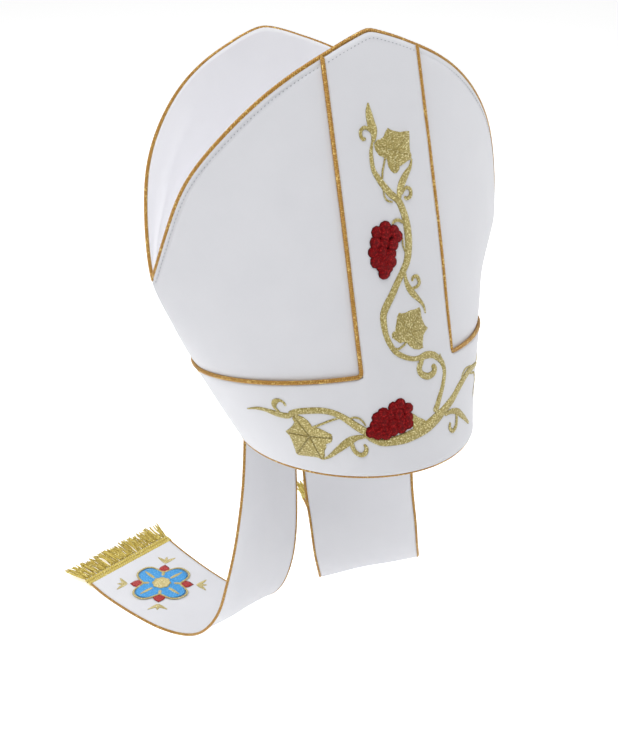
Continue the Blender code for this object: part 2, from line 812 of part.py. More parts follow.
def leaflet(name, start, end, bend, widest, parent):
    """A narrow pointed leaf that curves from its first place to its last."""
    rows = []
    for step in range(7):
        t = step / 6
        swell = math.sin(math.pi * (0.08 + 0.84 * t)) ** 0.8
        sway = bend * math.sin(math.pi * t)
        across = start[0] + (end[0] - start[0]) * t + sway * (end[1] - start[1]) * 1.5
        up = start[1] + (end[1] - start[1]) * t - sway * (end[0] - start[0]) * 0.5
        rows.append((across, up, widest * max(swell, 0.22)))
    ribbon(name, rows, 1, parent)


def band_chart(across, up):
    """Puts metres to the side and upwards from a place of the band onto its face."""
    side, rise = band_steps(across, up)
    return lambda a, b, lift: on_band(across + a / side.length, up + b / rise.length, lift)


def make_leaf(name, across, up, turn, size, parent):
    """A five-lobed vine leaf with its stalk."""
    put = band_chart(across, up)
    half = [(math.radians(angle), reach * size * LEAF_SIZE) for angle, reach in LEAF_ROWS]
    stalk = math.radians(180.0 - LEAF_STALK_HALF_ANGLE)
    ring = half + [(stalk, LEAF_STALK * size * LEAF_SIZE)]
    ring += [(-angle, reach) for angle, reach in reversed(ring[1:])]
    lean = math.radians(turn)
    points = [(reach * math.sin(a - lean), reach * math.cos(a - lean)) for a, reach in ring]
    slab(
        name,
        disc(points),
        lambda a, b: put(a, b, LEAF_GAP + THREAD_LIFT),
        lambda a, b: put(a, b, LEAF_GAP),
        GOLD_THREAD,
        parent,
    )


def make_grapes(name, across, up, lean, parent):
    """A bunch of berries in rows, each a six-sided boss, fused in one piece."""
    put = band_chart(across, up)
    lean = math.radians(lean)
    radius = BERRY_SIZE / math.sqrt(3.0)
    middle_row = (len(BERRY_COUNTS) - 1) / 2
    centres = set()
    cells = []
    for row, count in enumerate(BERRY_COUNTS):
        for berry in range(count):
            x = (berry - (count - 1) / 2) * BERRY_SIZE
            y = (middle_row - row) * 1.5 * radius
            centre = (round(x, 6), round(y, 6))
            centres.add(centre)
            ring = []
            for corner in range(6):
                angle = math.radians(30.0 + 60.0 * corner)
                ring.append((x + radius * math.cos(angle), y + radius * math.sin(angle)))
            ring = [(round(a, 5), round(b, 5)) for a, b in ring]
            cells += [(centre, a, b) for a, b in zip(ring, ring[1:] + ring[:1])]

    def turned(a, b, lift):
        x = a * math.cos(lean) + b * math.sin(lean)
        return put(x, b * math.cos(lean) - a * math.sin(lean), lift)

    slab(
        name,
        cells,
        lambda a, b: turned(a, b, SEAM_GAP + (BERRY_LIFT if (a, b) in centres else THREAD_LIFT)),
        lambda a, b: turned(a, b, SEAM_GAP),
        GRAPE_THREAD,
        parent,
    )


def make_embroidery(parent):
    """The grape vine on the front of the band."""
    ribbon("vine_stem", STEM_ROWS, 2, parent)
    ribbon("vine_stem_curl", STEM_CURL_ROWS, 2, parent)
    ribbon("vine_base_stem", BASE_ROWS, 2, parent)
    ribbon("vine_branch_left", LEFT_BRANCH_ROWS, 2, parent)
    for name, a0, u0, a1, u1, bend, widest in LEAFLETS:
        leaflet(name, (a0, u0), (a1, u1), bend, widest, parent)
    for name, across, up, turn, size in LEAVES:
        make_leaf(name, across, up, turn, size, parent)
    for name, across, up, lean in GRAPES:
        make_grapes(name, across, up, lean, parent)


def main():
    for thing in list(bpy.data.objects):
        bpy.data.objects.remove(thing)
    tip = bpy.data.objects.new("worn_tip", None)
    bpy.context.scene.collection.objects.link(tip)
    tip.rotation_euler.x = -TIP_BACK
    make_horn("front_horn", FRONT, tip)
    make_horn("back_horn", BACK, tip)
    make_gusset(tip)
    make_band("front_band", FRONT, tip)
    make_band("back_band", BACK, tip)
    make_crown_pipings(tip)
    make_embroidery(tip)
    make_lappet("right", RIGHT)
    make_lappet("left", LEFT)


main()
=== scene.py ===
# %% [markdown]
# # A bishop's mitre, dressed
# The mitre is two stiff white horns joined by a sagging lining, trimmed with gold piping, with a
# grape vine embroidered up its front and two fringed lappets behind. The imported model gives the
# size and place of every piece, and this lesson gives each one its cloth, cord and thread.
# %% Load the frame
import math
import random
import bmesh
import bpy
from mathutils import Matrix, Vector, noise
from mathutils.geometry import convex_hull_2d
from mathutils.kdtree import KDTree


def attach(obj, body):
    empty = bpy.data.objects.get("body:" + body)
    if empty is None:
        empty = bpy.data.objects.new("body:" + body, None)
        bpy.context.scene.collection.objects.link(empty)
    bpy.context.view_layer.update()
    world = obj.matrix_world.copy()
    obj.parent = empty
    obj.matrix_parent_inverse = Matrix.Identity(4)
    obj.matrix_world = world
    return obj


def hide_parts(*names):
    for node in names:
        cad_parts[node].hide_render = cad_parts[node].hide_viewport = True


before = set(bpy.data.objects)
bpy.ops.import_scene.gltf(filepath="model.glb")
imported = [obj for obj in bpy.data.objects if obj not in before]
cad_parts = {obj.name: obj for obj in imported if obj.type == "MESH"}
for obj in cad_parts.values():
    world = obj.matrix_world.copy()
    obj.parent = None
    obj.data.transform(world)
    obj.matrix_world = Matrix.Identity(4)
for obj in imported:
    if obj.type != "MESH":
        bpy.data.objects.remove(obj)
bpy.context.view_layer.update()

# %% [markdown]
# ## The camera and the light
# The hat is seen from its front right, from a little above, through a long lens that keeps its
# shape calm. A surround, white to the eye but dim as a light, and large soft lamps give cloth its
# gentle shade. They come first, so that every later step can be looked at.
# %% The camera
camera_data = bpy.data.cameras.new("camera")
camera_data.lens = 54.32
camera = bpy.data.objects.new("camera", camera_data)
camera.location = (-0.3746, -0.6277, 0.4544)
camera.rotation_euler = (math.radians(90.0 - 29.79), 0.0, math.radians(-28.08))
bpy.context.scene.collection.objects.link(camera)
bpy.context.scene.camera = camera
print("camera at", tuple(round(x, 3) for x in camera.location))


# %% The lamps and the white surround
def soft_lamp(name, place, target, size, power):
    """A square lamp that faces a target."""
    data = bpy.data.lights.new(name, "AREA")
    data.size = size
    data.energy = power
    lamp = bpy.data.objects.new(name, data)
    lamp.location = place
    lamp.rotation_euler = (Vector(target) - Vector(place)).to_track_quat("-Z", "Y").to_euler()
    bpy.context.scene.collection.objects.link(lamp)
    return lamp


LAMPS = {
    # place, target, size of its side and power
    "overhead": ((-0.30, -0.12, 1.7), (0.0, 0.08, 0.1), 1.1, 16.5),
    "from_the_left": ((-1.6, 0.1, 0.7), (0.0, 0.0, 0.05), 0.9, 1.3),
    "from_the_right": ((1.6, -0.1, 0.6), (0.0, 0.0, 0.05), 0.9, 6.0),
    "from_behind": ((-0.7, 1.1, 1.0), (-0.15, 0.25, -0.24), 0.6, 9.5),
}
for name, settings in LAMPS.items():
    soft_lamp(name, *settings)
SURROUND_AS_LIGHT = 0.37
SURROUND_TO_THE_EYE = 1.0
world = bpy.data.worlds.new("white surround")
world.use_nodes = True
surround = world.node_tree.nodes["Background"]
surround.inputs["Color"].default_value = (1.0, 1.0, 1.0, 1.0)
rays = world.node_tree.nodes.new("ShaderNodeLightPath")
strength = world.node_tree.nodes.new("ShaderNodeMapRange")
strength.inputs["To Min"].default_value = SURROUND_AS_LIGHT
strength.inputs["To Max"].default_value = SURROUND_TO_THE_EYE
world.node_tree.links.new(rays.outputs["Is Camera Ray"], strength.inputs["Value"])
world.node_tree.links.new(strength.outputs["Result"], surround.inputs["Strength"])
bpy.context.scene.world = world
bpy.context.scene.view_settings.view_transform = "Standard"

# %% [markdown]
# ## Writing a material as sums
# Thread and cloth are patterns of fine ridges, and a ridge is a wave. A small class wraps the
# output of a shader node, so that a pattern is written as an ordinary sum, such as 1 - mask, and
# the Math nodes appear by themselves. Any other node comes from one method, and short methods on
# top of it give the chart, a noise and the pressed marks, which most materials use.


# %% The class for shader sums
class Thread:
    """One output of a shader node, which takes part in sums as a number does."""

    def __init__(self, tree, socket=None):
        self.tree = tree
        self.socket = socket

    def node(self, kind, settings=None, inputs=None, output=0):
        """Adds a node: its settings first, then the values and links of its sockets."""
        made = self.tree.nodes.new(kind)
        for name, value in (settings or {}).items():
            if name == "stops":
                for stop, (place, colour) in zip(made.color_ramp.elements, value):
                    stop.position = place
                    stop.color = (*colour, 1.0)
            else:
                setattr(made, name, value)
        for name, value in (inputs or {}).items():
            if isinstance(value, Thread):
                self.tree.links.new(value.socket, made.inputs[name])
            else:
                made.inputs[name].default_value = value
        return Thread(self.tree, made.outputs[output])

    def maths(self, operation, *others):
        """A Math node on this output and others."""
        values = dict(enumerate((self, *others)))
        return self.node("ShaderNodeMath", {"operation": operation}, values)

    def __add__(self, other):
        return self.maths("ADD", other)

    __radd__ = __add__

    def __mul__(self, other):
        return self.maths("MULTIPLY", other)

    __rmul__ = __mul__

    def __sub__(self, other):
        return self.maths("SUBTRACT", other)

    def __rsub__(self, other):
        return (self * -1.0) + other

    def wave(self, length):
        """A ridge every length, from 0 to 1."""
        return (self * (2.0 * math.pi / length)).maths("SINE") * 0.5 + 0.5

    def clamp(self):
        """Keeps the value from 0 to 1."""
        return self.node("ShaderNodeClamp", {}, {"Value": self})

    def chart(self):
        """The two measures of the piece's own chart, in metres."""
        chart = self.node("ShaderNodeUVMap", {"uv_map": "chart"})
        return [self.node("ShaderNodeSeparateXYZ", {}, {0: chart}, axis) for axis in (0, 1)]

    def speckle(self, scale, detail, place=None):
        """A noise from 0 to 1 that lies still on the piece, or on a place of its own."""
        place = place or self.node("ShaderNodeTexCoord", {}, {}, 3)
        return self.node("ShaderNodeTexNoise", {}, {"Vector": place, "Scale": scale, "Detail": detail})

    def pressed(self):
        """How deep each point is pressed in, from the piece's own layer. Materials darken their colour
        by it as painted shade; fringe yarns hold their own random darkness in it instead.
        """
        return self.node("ShaderNodeAttribute", {"attribute_name": "pressed"}, {}, 2)


def shade(red, green, blue):
    """A colour given in 0 to 255, as the shader needs it."""
    parts = [part / 255.0 for part in (red, green, blue)]
    return tuple(x / 12.92 if x <= 0.04045 else ((x + 0.055) / 1.055) ** 2.4 for x in parts)


def mix(low, high, mask):
    """A colour between two, by a mask from 0 to 1."""
    def whole(colour):
        return colour if isinstance(colour, Thread) else (*colour, 1.0)
    return mask.node(
        "ShaderNodeMix", {"data_type": "RGBA"}, {0: mask, 6: whole(low), 7: whole(high)}, 2
    )


def material(name, **constants):
    """A new material: its shader's own values, and a thread to write its patterns with."""
    made = bpy.data.materials.new(name)
    made.use_nodes = True
    shader = made.node_tree.nodes["Principled BSDF"]
    for key, value in constants.items():
        shader.inputs[key.replace("_", " ")].default_value = value
    return made, shader, Thread(made.node_tree)


def connect(thread, shader, **links):
    """Joins patterns to the shader's sockets."""
    for key, value in links.items():
        thread.tree.links.new(value.socket, shader.inputs[key.replace("_", " ")])


def relief(thread, height, distance, under=None):
    """Turns a height pattern into a bump, over a finer one if there is one."""
    inputs = {"Strength": 1.0, "Distance": distance, "Height": height}
    if under:
        inputs["Normal"] = under
    return thread.node("ShaderNodeBump", {}, inputs)


print("shade of mid grey", tuple(round(x, 3) for x in shade(128, 128, 128)))

# %% [markdown]
# ## White cloth and lining
# The horns are covered in a smooth white cloth of fine even weave, so its threads hardly show and
# its shade is clean. Two crossing waves on the piece's own chart, a third of a millimetre apart,
# give the weave, and a slow noise gives the faint rise and fall of cloth over a stiff layer. The
# waves also darken the colour a little between threads, and the colour is darkened where a stitched
# row presses the cloth in: both are painted shade. The lining's lighter colour is painted light.


# %% Plain cloth
def plain_cloth(name, light, dark, pitch, roughness, weave, slow):
    """A woven cloth that follows the piece's chart in metres."""
    made, shader, thread = material(
        name, Sheen_Weight=0.15, Sheen_Roughness=0.5, Specular_IOR_Level=0.3
    )
    across, along = thread.chart()
    threads = across.wave(pitch) * along.wave(pitch * 1.1)
    drift = thread.speckle(38.0, 3.0)
    slub = thread.speckle(900.0, 2.0)
    groove_depth_and_shade = thread.pressed()
    # The weave's waves darken the colour a little between threads, as painted shade; the two noises vary
    # the cloth's tone at random.
    tone = (threads * 0.25 + drift * 0.55 + slub * 0.2).clamp()
    # Painted shade: the colour darkens where the cloth is pressed in, along the stitched row inside each
    # horn's edge.
    colour = mix(shade(*dark), shade(*light), (tone - groove_depth_and_shade * 0.25).clamp())
    fine = relief(thread, threads + slub * 0.8, weave)
    broad = relief(thread, drift - groove_depth_and_shade * 0.8, slow, fine)
    connect(thread, shader, Base_Color=colour, Roughness=tone * -0.06 + roughness, Normal=broad)
    return made


white_cloth = plain_cloth(
    "white cloth", (230, 230, 234), (219, 220, 225), 0.00034, 0.66, weave=0.00003, slow=0.0006
)
# The lining is painted lighter than the horns' white cloth, standing in for the stronger light that falls
# into the trough; its smoother, finer weave is its own.
lining_cloth_painted_lighter = plain_cloth(
    "lining cloth painted lighter", (247, 247, 250), (239, 239, 243), 0.00026, 0.55, weave=0.00002, slow=0.0005
)
print("cloths", white_cloth.name, lining_cloth_painted_lighter.name)

# %% [markdown]
# ## Gold piping
# The piping is a cord with flat metal yarn wound round it. Its chart runs along the cord and
# round it, so a slanting wave draws the turns of yarn, warm gold on top and painted shade of brown
# in the grooves, and a fine noise paints highlights of pale gold where turns catch the light.


# %% Wound metal yarn
def wound_yarn(name, colours, pitch, slant, metal, roughness, bump):
    """Yarn wound round a cord, by a chart along the cord and round it in metres."""
    deep, warm, glint = (shade(*colour) for colour in colours)
    made, shader, thread = material(name, Sheen_Weight=0.1)
    along, around = thread.chart()
    turns = (along + around * slant).wave(pitch)
    grain = thread.speckle(850.0, 3.0)
    broad = thread.speckle(160.0, 1.0)
    # Painted shade: brown in the grooves between turns and along a pressed line, such as the braid's
    # middle; on fringe yarns the pressed layer holds each yarn's own random darkness.
    body = turns * 0.55 + grain * 1.2 - 0.25 - thread.pressed() * 0.8
    # Painted highlight: specks where the noise is high take the glint colour, and are also a little more
    # metallic and glossier.
    spark = ((grain + broad * 0.25 - 0.70) * 9.0).clamp()
    connect(
        thread,
        shader,
        Base_Color=mix(mix(deep, warm, body.clamp()), glint, spark),
        Metallic=spark * (1.0 - metal) * 0.5 + metal,
        Roughness=roughness - spark * 0.12,
        Normal=relief(thread, turns + grain * 0.5, bump),
    )
    return made


gold_piping = wound_yarn(
    "gold piping",
    ((140, 88, 28), (204, 154, 62), (244, 218, 134)),
    pitch=0.0015,
    slant=0.55,
    metal=0.30,
    roughness=0.42,
    bump=0.00040,
)
print("piping finish", gold_piping.name)

# %% [markdown]
# ## Satin stitches
# Embroidery is made of shiny threads laid side by side across each shape. On a stem they lie
# across its length and lean from the middle to both edges, so the wave's chart is bent by the
# distance from the middle. Lighter and darker threads alternate at random. The wave also darkens
# the colour between stitches, as painted shade, and random specks take a lighter colour as painted
# highlights. Sunken veins, and the rims of grapes, are darkened as painted shade too.


# %% Satin thread
PAINTED_SHADE_FACTOR = 0.6


def satin_thread(name, colours, pitch, bump, lean=0.0, metal=0.0, roughness=0.45, rim=None, gloss=0.5):
    """Satin stitches across a shape whose chart runs along it and across it in metres."""
    deep, body, glint = (shade(*colour) for colour in colours)
    # The colour of painted shade in grooves and at rims.
    groove = tuple(part * PAINTED_SHADE_FACTOR for part in deep)
    made, shader, thread = material(
        name, Sheen_Weight=0.2 * gloss, Sheen_Roughness=0.4, Specular_IOR_Level=gloss
    )
    along, aside = thread.chart()
    apart = aside.maths("ABSOLUTE")
    bent = along + apart * lean
    rows = bent.wave(pitch)
    strand = thread.node(
        "ShaderNodeCombineXYZ", {}, {0: bent * (1.0 / pitch), 1: aside * 900.0}
    )
    mixed = thread.speckle(0.9, 2.0, strand)
    grain = thread.speckle(850.0, 1.0)
    # The wave darkens the colour between stitches as painted shade; the stretched noise gives each thread
    # its own tone.
    colour = mix(deep, body, (rows * 0.45 + mixed * 1.6 + grain * 0.6 - 0.75).clamp())
    # Painted highlight: specks take the glint colour, and a little more metal.
    spark = ((mixed + grain * 0.5 - 0.77) * 6.0).clamp()
    colour = mix(colour, glint, spark)
    # Painted shade where the piece is pressed in, as in a leaf's veins.
    colour = mix(colour, groove, (thread.pressed() * 0.55).clamp())
    # Painted shade towards the rim; where the chart lies far out, as under a bunch of grapes, all of it is
    # dark.
    if rim:
        edge = (apart * (1.0 / rim)).maths("POWER", 6.0)
        colour = mix(colour, groove, edge.clamp())
    connect(
        thread,
        shader,
        Base_Color=colour,
        Metallic=spark * 0.2 + metal,
        Roughness=roughness - mixed * 0.1,
        Normal=relief(thread, rows + mixed * 0.6, bump),
    )
    return made


gold_thread = satin_thread(
    "gold thread",
    ((142, 122, 54), (206, 188, 112), (246, 238, 184)),
    pitch=0.00080,
    bump=0.00026,
    lean=0.6,
    metal=0.25,
    roughness=0.42,
)
grape_thread = satin_thread(
    "grape thread",
    ((96, 2, 8), (168, 8, 18), (212, 48, 48)),
    pitch=0.00085,
    bump=0.00034,
    roughness=0.5,
    # Painted shade: each button darkens towards its rim.
    rim=0.0041,
    gloss=0.1,
)
print("threads", gold_thread.name, grape_thread.name)

# %% [markdown]
# ## The crown's shape
# Cut flat and bent round the head, each half of the crown widens as it rises. Its section is close
# to an ellipse at the rim and squarer at the fork where the horns part. The named sizes and short
# tables below are those of the solid model, so every piece of cloth lies exactly where it should.
# %% The crown's named sizes
RIM_HALF_DEPTH = 0.0967
RIM_DIP = 0.0045
FORK_HEIGHT = 0.1360
FORK_HALF_WIDTH = 0.1415
PEAK_HEIGHT = 0.2845
SIDE_LEAN = 0.0120
TIP_BACK = math.radians(10.0)
HORN_WALL = 0.0024
BAND_HEIGHT = 0.0660
STRIP_HALF_WIDTH = 0.0360
STRIP_TOP_HALF_WIDTH = 0.0343
BAND_WALL = 0.0010
SEAM_GAP = 0.0003
LAYER_GAP = 0.0006
FRONT = -1
BACK = 1
RIGHT = -1
LEFT = 1
WIDTHS = {
    RIGHT: ((0.0, 0.607), (0.35, 0.762), (0.70, 0.908), (1.0, 1.000), ("peak", 1.057)),
    LEFT: ((0.0, 0.575), (0.35, 0.676), (0.70, 0.821), (1.0, 0.993), ("peak", 1.050)),
}
DEPTHS = {
    FRONT: ((0.0, 1.000), (0.5, 0.934), (1.0, 0.917), ("peak", 0.828)),
    BACK: ((0.0, 1.000), (0.5, 0.935), (1.0, 0.950), ("peak", 0.786)),
}
FULLNESSES = {
    FRONT: ((0.0, 0.500), (0.5, 0.566), (1.0, 0.880), ("peak", 0.572)),
    BACK: ((0.0, 0.500), (0.5, 0.522), (1.0, 0.760), ("peak", 0.572)),
}
OUTLINE = ((0.0, 1.0), (0.20, 0.943), (0.42, 0.858), (0.65, 0.668), (0.85, 0.394), (1.0, 0.0))
PEAK_SOFTNESS = {FRONT: 0.0030, BACK: 0.0075}
BEND_REACH = 0.0110
print("horns", round(1000 * PEAK_HEIGHT), "mm tall")


# %% A smooth curve through a table
def end_tangent(steps, slopes):
    """The slope at the end of a smooth curve, from its first two spans."""
    tangent = (2.0 * steps[0] + steps[1]) * slopes[0] - steps[0] * slopes[1]
    tangent /= steps[0] + steps[1]
    if tangent * slopes[0] <= 0.0:
        return 0.0
    if slopes[0] * slopes[1] < 0.0 and abs(tangent) > 3.0 * abs(slopes[0]):
        return 3.0 * slopes[0]
    return tangent


def between(rows, at):
    """A smooth curve through rows of place and value that never passes beyond them."""
    places = [row[0] for row in rows]
    values = [row[1] for row in rows]
    steps = [b - a for a, b in zip(places, places[1:])]
    slopes = [(b - a) / step for a, b, step in zip(values, values[1:], steps)]
    tangents = [end_tangent(steps, slopes)]
    for i in range(1, len(steps)):
        near = 2.0 * steps[i] + steps[i - 1]
        far = steps[i] + 2.0 * steps[i - 1]
        agree = slopes[i - 1] * slopes[i] > 0.0
        mean = (near + far) / (near / slopes[i - 1] + far / slopes[i]) if agree else 0.0
        tangents.append(mean)
    tangents.append(end_tangent(steps[::-1], slopes[::-1]))
    at = min(max(at, places[0]), places[-1])
    span = max(i for i in range(len(steps)) if places[i] <= at or i == 0)
    t = (at - places[span]) / steps[span]
    start = values[span] * (1.0 + 2.0 * t) + tangents[span] * steps[span] * t
    end = values[span + 1] * (3.0 - 2.0 * t) - tangents[span + 1] * steps[span] * (1.0 - t)
    return start * (1.0 - t) ** 2 + end * t**2


def rule(rows, low, high, steps=900):
    """The same curve read off at many places once, so that a fine grid is quick to lay."""
    values = [between(rows, low + (high - low) * i / steps) for i in range(steps + 1)]

    def look(at):
        place = (min(max(at, low), high) - low) / (high - low) * steps
        first = min(int(place), steps - 1)
        return values[first] + (values[first + 1] - values[first]) * (place - first)

    return look


def crown_rule(table, unit):
    """A rule by height for one of the crown's tables."""
    rows = [(PEAK_HEIGHT if up == "peak" else up * FORK_HEIGHT, share * unit) for up, share in table]
    return rule(rows, 0.0, PEAK_HEIGHT)


half_width_by_hand = {hand: crown_rule(WIDTHS[hand], FORK_HALF_WIDTH) for hand in (RIGHT, LEFT)}
half_depth_by_side = {side: crown_rule(DEPTHS[side], RIM_HALF_DEPTH) for side in (FRONT, BACK)}
fullness_by_side = {side: crown_rule(FULLNESSES[side], 1.0) for side in (FRONT, BACK)}
horn_rise = PEAK_HEIGHT - FORK_HEIGHT
cut_line = rule(
    [(FORK_HEIGHT + up * horn_rise, reach * FORK_HALF_WIDTH) for up, reach in OUTLINE],
    FORK_HEIGHT,
    PEAK_HEIGHT,
)


def outline(height):
    """The horn's half width at a height, with each bend of the cut line spread out."""
    room = min(BEND_REACH, height - FORK_HEIGHT, PEAK_HEIGHT - height)
    return (cut_line(height - room) + 2.0 * cut_line(height) + cut_line(height + room)) / 4.0


print("fork half width", round(half_width_by_hand[LEFT](FORK_HEIGHT), 4))


# %% Places on the crown
def half_width(height, share):
    """The crown's width from its middle to the side seam that a share lies towards."""
    return half_width_by_hand[RIGHT if share < 0.0 else LEFT](height)


def crown(side, share, height, lift=0.0):
    """A point of the upright horn's outer face, moved out by lift."""
    across = (half_width(height, share) + lift) * share
    roundness = max(1.0 - share * share, 0.0) ** fullness_by_side[side](height)
    depth = (half_depth_by_side[side](height) + lift) * roundness + SEAM_GAP / 2
    return Vector((across, side * depth + SIDE_LEAN * height / FORK_HEIGHT, height))


TIP = Matrix.Rotation(-TIP_BACK, 3, "X")


def worn(side, share, height, lift=0.0):
    """The same point on the hat as worn, tipped back."""
    return TIP @ crown(side, share, height, lift)


def rim_height(side, share):
    """The rim dips a little at the brow."""
    return -RIM_DIP * (1.0 - share * share) if side == FRONT else 0.0


EDGE_HALVINGS = 34


def edge_height(side, reach):
    """The height where a column, whose distance out is reach(height), meets the horn's outline."""
    low = FORK_HEIGHT
    high = PEAK_HEIGHT
    for _ in range(EDGE_HALVINGS):
        middle = (low + high) / 2
        if outline(middle) > math.hypot(reach(middle), PEAK_SOFTNESS[side]):
            low = middle
        else:
            high = middle
    return (low + high) / 2


def horn_edge(side, share, lift=0.0):
    """The outline's point on the column at a share of the half width."""
    return crown(side, share, edge_height(side, lambda z: abs(share) * half_width(z, share)), lift)


def below_edge(side, share, room):
    """The height on a column that lies a distance inside the outline."""
    step = 0.01 if share < 0 else -0.01
    edge = horn_edge(side, share)
    along = (horn_edge(side, share + step) - edge).normalized()
    down = (crown(side, share, edge.z - 0.001) - edge).normalized()
    return edge.z - room / max(along.cross(down).length, 0.35)


def strip_half_width(height):
    """Half the width of the strip up the middle, between the middles of its pipings."""
    up = (height - BAND_HEIGHT) / (PEAK_HEIGHT - BAND_HEIGHT)
    return STRIP_HALF_WIDTH + (STRIP_TOP_HALF_WIDTH - STRIP_HALF_WIDTH) * min(max(up, 0.0), 1.0)


print("peak at", tuple(round(x, 4) for x in worn(FRONT, 0.0, PEAK_HEIGHT)))

# %% [markdown]
# ## Laying a grid as cloth
# Every woven piece starts as a flat grid, made by one operator. A rule then lays each of its
# points in place, as a cutter lays cloth on a block, and the grid's own measure becomes the
# chart that carries the weave. Tubes and closed patches are the same grid with its edges merged.


# %% Lay a grid, and finish a piece
def laid(columns, rows, place, chart, keep_cell=None, closed=False, outward=None):
    """A grid whose every point is placed by a rule of across and along, both from 0 to 1."""
    mesh = bmesh.new()
    bmesh.ops.create_grid(mesh, x_segments=columns, y_segments=rows, size=0.5)
    if keep_cell:
        spare = []
        for face in mesh.faces:
            middle = face.calc_center_median()
            if not keep_cell(middle.x + 0.5, middle.y + 0.5):
                spare.append(face)
        bmesh.ops.delete(mesh, geom=spare, context="FACES")
    layer = mesh.loops.layers.uv.new("chart")
    charts = {vert: chart(vert.co.x + 0.5, vert.co.y + 0.5) for vert in mesh.verts}
    for face in mesh.faces:
        for loop in face.loops:
            loop[layer].uv = charts[loop.vert]
    for vert in mesh.verts:
        vert.co = place(vert.co.x + 0.5, vert.co.y + 0.5)
    if closed:
        bmesh.ops.remove_doubles(mesh, verts=mesh.verts, dist=2e-6)
        bmesh.ops.dissolve_degenerate(mesh, edges=mesh.edges, dist=1e-7)
        bmesh.ops.recalc_face_normals(mesh, faces=mesh.faces)
    elif outward:
        mesh.normal_update()
        agree = sum(face.normal.dot(outward(face.calc_center_median())) for face in mesh.faces)
        if agree < 0.0:
            bmesh.ops.reverse_faces(mesh, faces=mesh.faces)
    return mesh


def spot_key(point):
    """A place rounded to a tenth of a micrometre, so that it can be looked up."""
    return tuple(round(x, 7) for x in point)


def press(mesh, rule):
    """Marks how deep each point is pressed in, by a rule of its place."""
    layer = mesh.verts.layers.float.new("pressed")
    for vert in mesh.verts:
        vert[layer] = rule(vert.co)
    return mesh


def finished(name, meshes, finish, node=None):
    """Joins meshes into one piece that rides on the hat, in place of a solid if one is named."""
    whole = bmesh.new()
    whole.loops.layers.uv.new("chart")
    whole.verts.layers.float.new("pressed")
    for mesh in meshes:
        part = bpy.data.meshes.new("part")
        mesh.to_mesh(part)
        mesh.free()
        whole.from_mesh(part)
        bpy.data.meshes.remove(part)
    data = bpy.data.meshes.new(name)
    whole.to_mesh(data)
    whole.free()
    data.shade_smooth()
    piece = bpy.data.objects.new(name, data)
    bpy.context.scene.collection.objects.link(piece)
    data.materials.append(finish)
    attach(piece, "root")
    if node:
        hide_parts(node)
    print(name, len(data.polygons), "faces")
    return piece


def wall(piece, thickness):
    """Gives cloth its thickness on the side away from its normals."""
    made = piece.modifiers.new("wall", "SOLIDIFY")
    made.thickness = thickness
    made.offset = -1.0
    made.use_even_offset = False
    return piece


def away_from_middle(point):
    """Outwards from the hat's upright middle line."""
    return Vector((point.x, point.y - 0.17 * point.z, 0.0))


trial = laid(2, 2, lambda u, v: (u, v, 0.0), lambda u, v: (u, v))
print("a trial grid of 2 by 2 cells has", len(trial.verts), "points")
trial.free()

# %% [markdown]
# ## The horns
# Each horn is cloth over a stiff layer. Where a cord is sewn on, the stitches pull the cloth down,
# and it swells softly again a few millimetres away. The distance to the nearest cord is found with
# a search tree, and a short rule turns it into a rise. A stitched row presses a line beside the edge,
# and the cloth's colour is darkened along that line as painted shade.
# %% Distance to the sewn cords
CORNER = 0.0030
STRIP_STEPS = 90
BROW_STEPS = 80
EDGE_STEPS = 320


def tree_of(points):
    """A search tree over points."""
    tree = KDTree(len(points))
    for number, point in enumerate(points):
        tree.insert(point, number)
    tree.balance()
    return tree


def band_line(side, sign, lay=0.0):
    """Down the strip's edge, round the inner corner and along the brow band to the side seam."""
    top = edge_height(side, strip_half_width) + 0.0005
    bend = BAND_HEIGHT + CORNER
    spots = [(top + (bend - top) * step / STRIP_STEPS, 0.0) for step in range(STRIP_STEPS + 1)]
    for turn in range(15, 90, 15):
        angle = math.radians(turn)
        spots.append((bend - CORNER * math.sin(angle), CORNER * (1.0 - math.cos(angle))))
    line = []
    for height, out in spots:
        share = (strip_half_width(height) + out) / half_width(height, sign)
        line.append(crown(side, sign * share, height, lay))
    first = math.asin((STRIP_HALF_WIDTH + CORNER) / half_width(BAND_HEIGHT, sign))
    for step in range(BROW_STEPS + 1):
        angle = first + (math.pi / 2 - first) * step / BROW_STEPS
        line.append(crown(side, sign * math.sin(angle), BAND_HEIGHT, lay))
    return line


edge_trees = {}
band_trees = {}
for side in (FRONT, BACK):
    shares = [math.sin(math.pi * (j / EDGE_STEPS - 0.5)) for j in range(EDGE_STEPS + 1)]
    edge_trees[side] = tree_of([horn_edge(side, share) for share in shares])
    band_trees[side] = tree_of(band_line(side, RIGHT) + band_line(side, LEFT))
print("edge line has", EDGE_STEPS + 1, "points")


# %% Two horns of cloth
HORN_COLUMNS = 176
HORN_ROWS = 116
PUFF = 0.0009
STITCH_ROW = 0.0044
TURNED_EDGE = 0.0009
EDGE_FADE = 0.004
FOOT_FADE = 0.01
ROW_DEPTH = 0.00012
CLOTH_DRIFT = 0.0005


def swell(distance, height):
    """How far cloth stands up at a distance from a sewn line."""
    return height * (1.0 - math.exp(-distance / 0.0028)) * math.exp(-distance / 0.045)


def pressed_by(distance):
    """How much a stitched row presses the cloth at a distance from the edge."""
    return math.exp(-(((distance - STITCH_ROW) / 0.0011) ** 2))


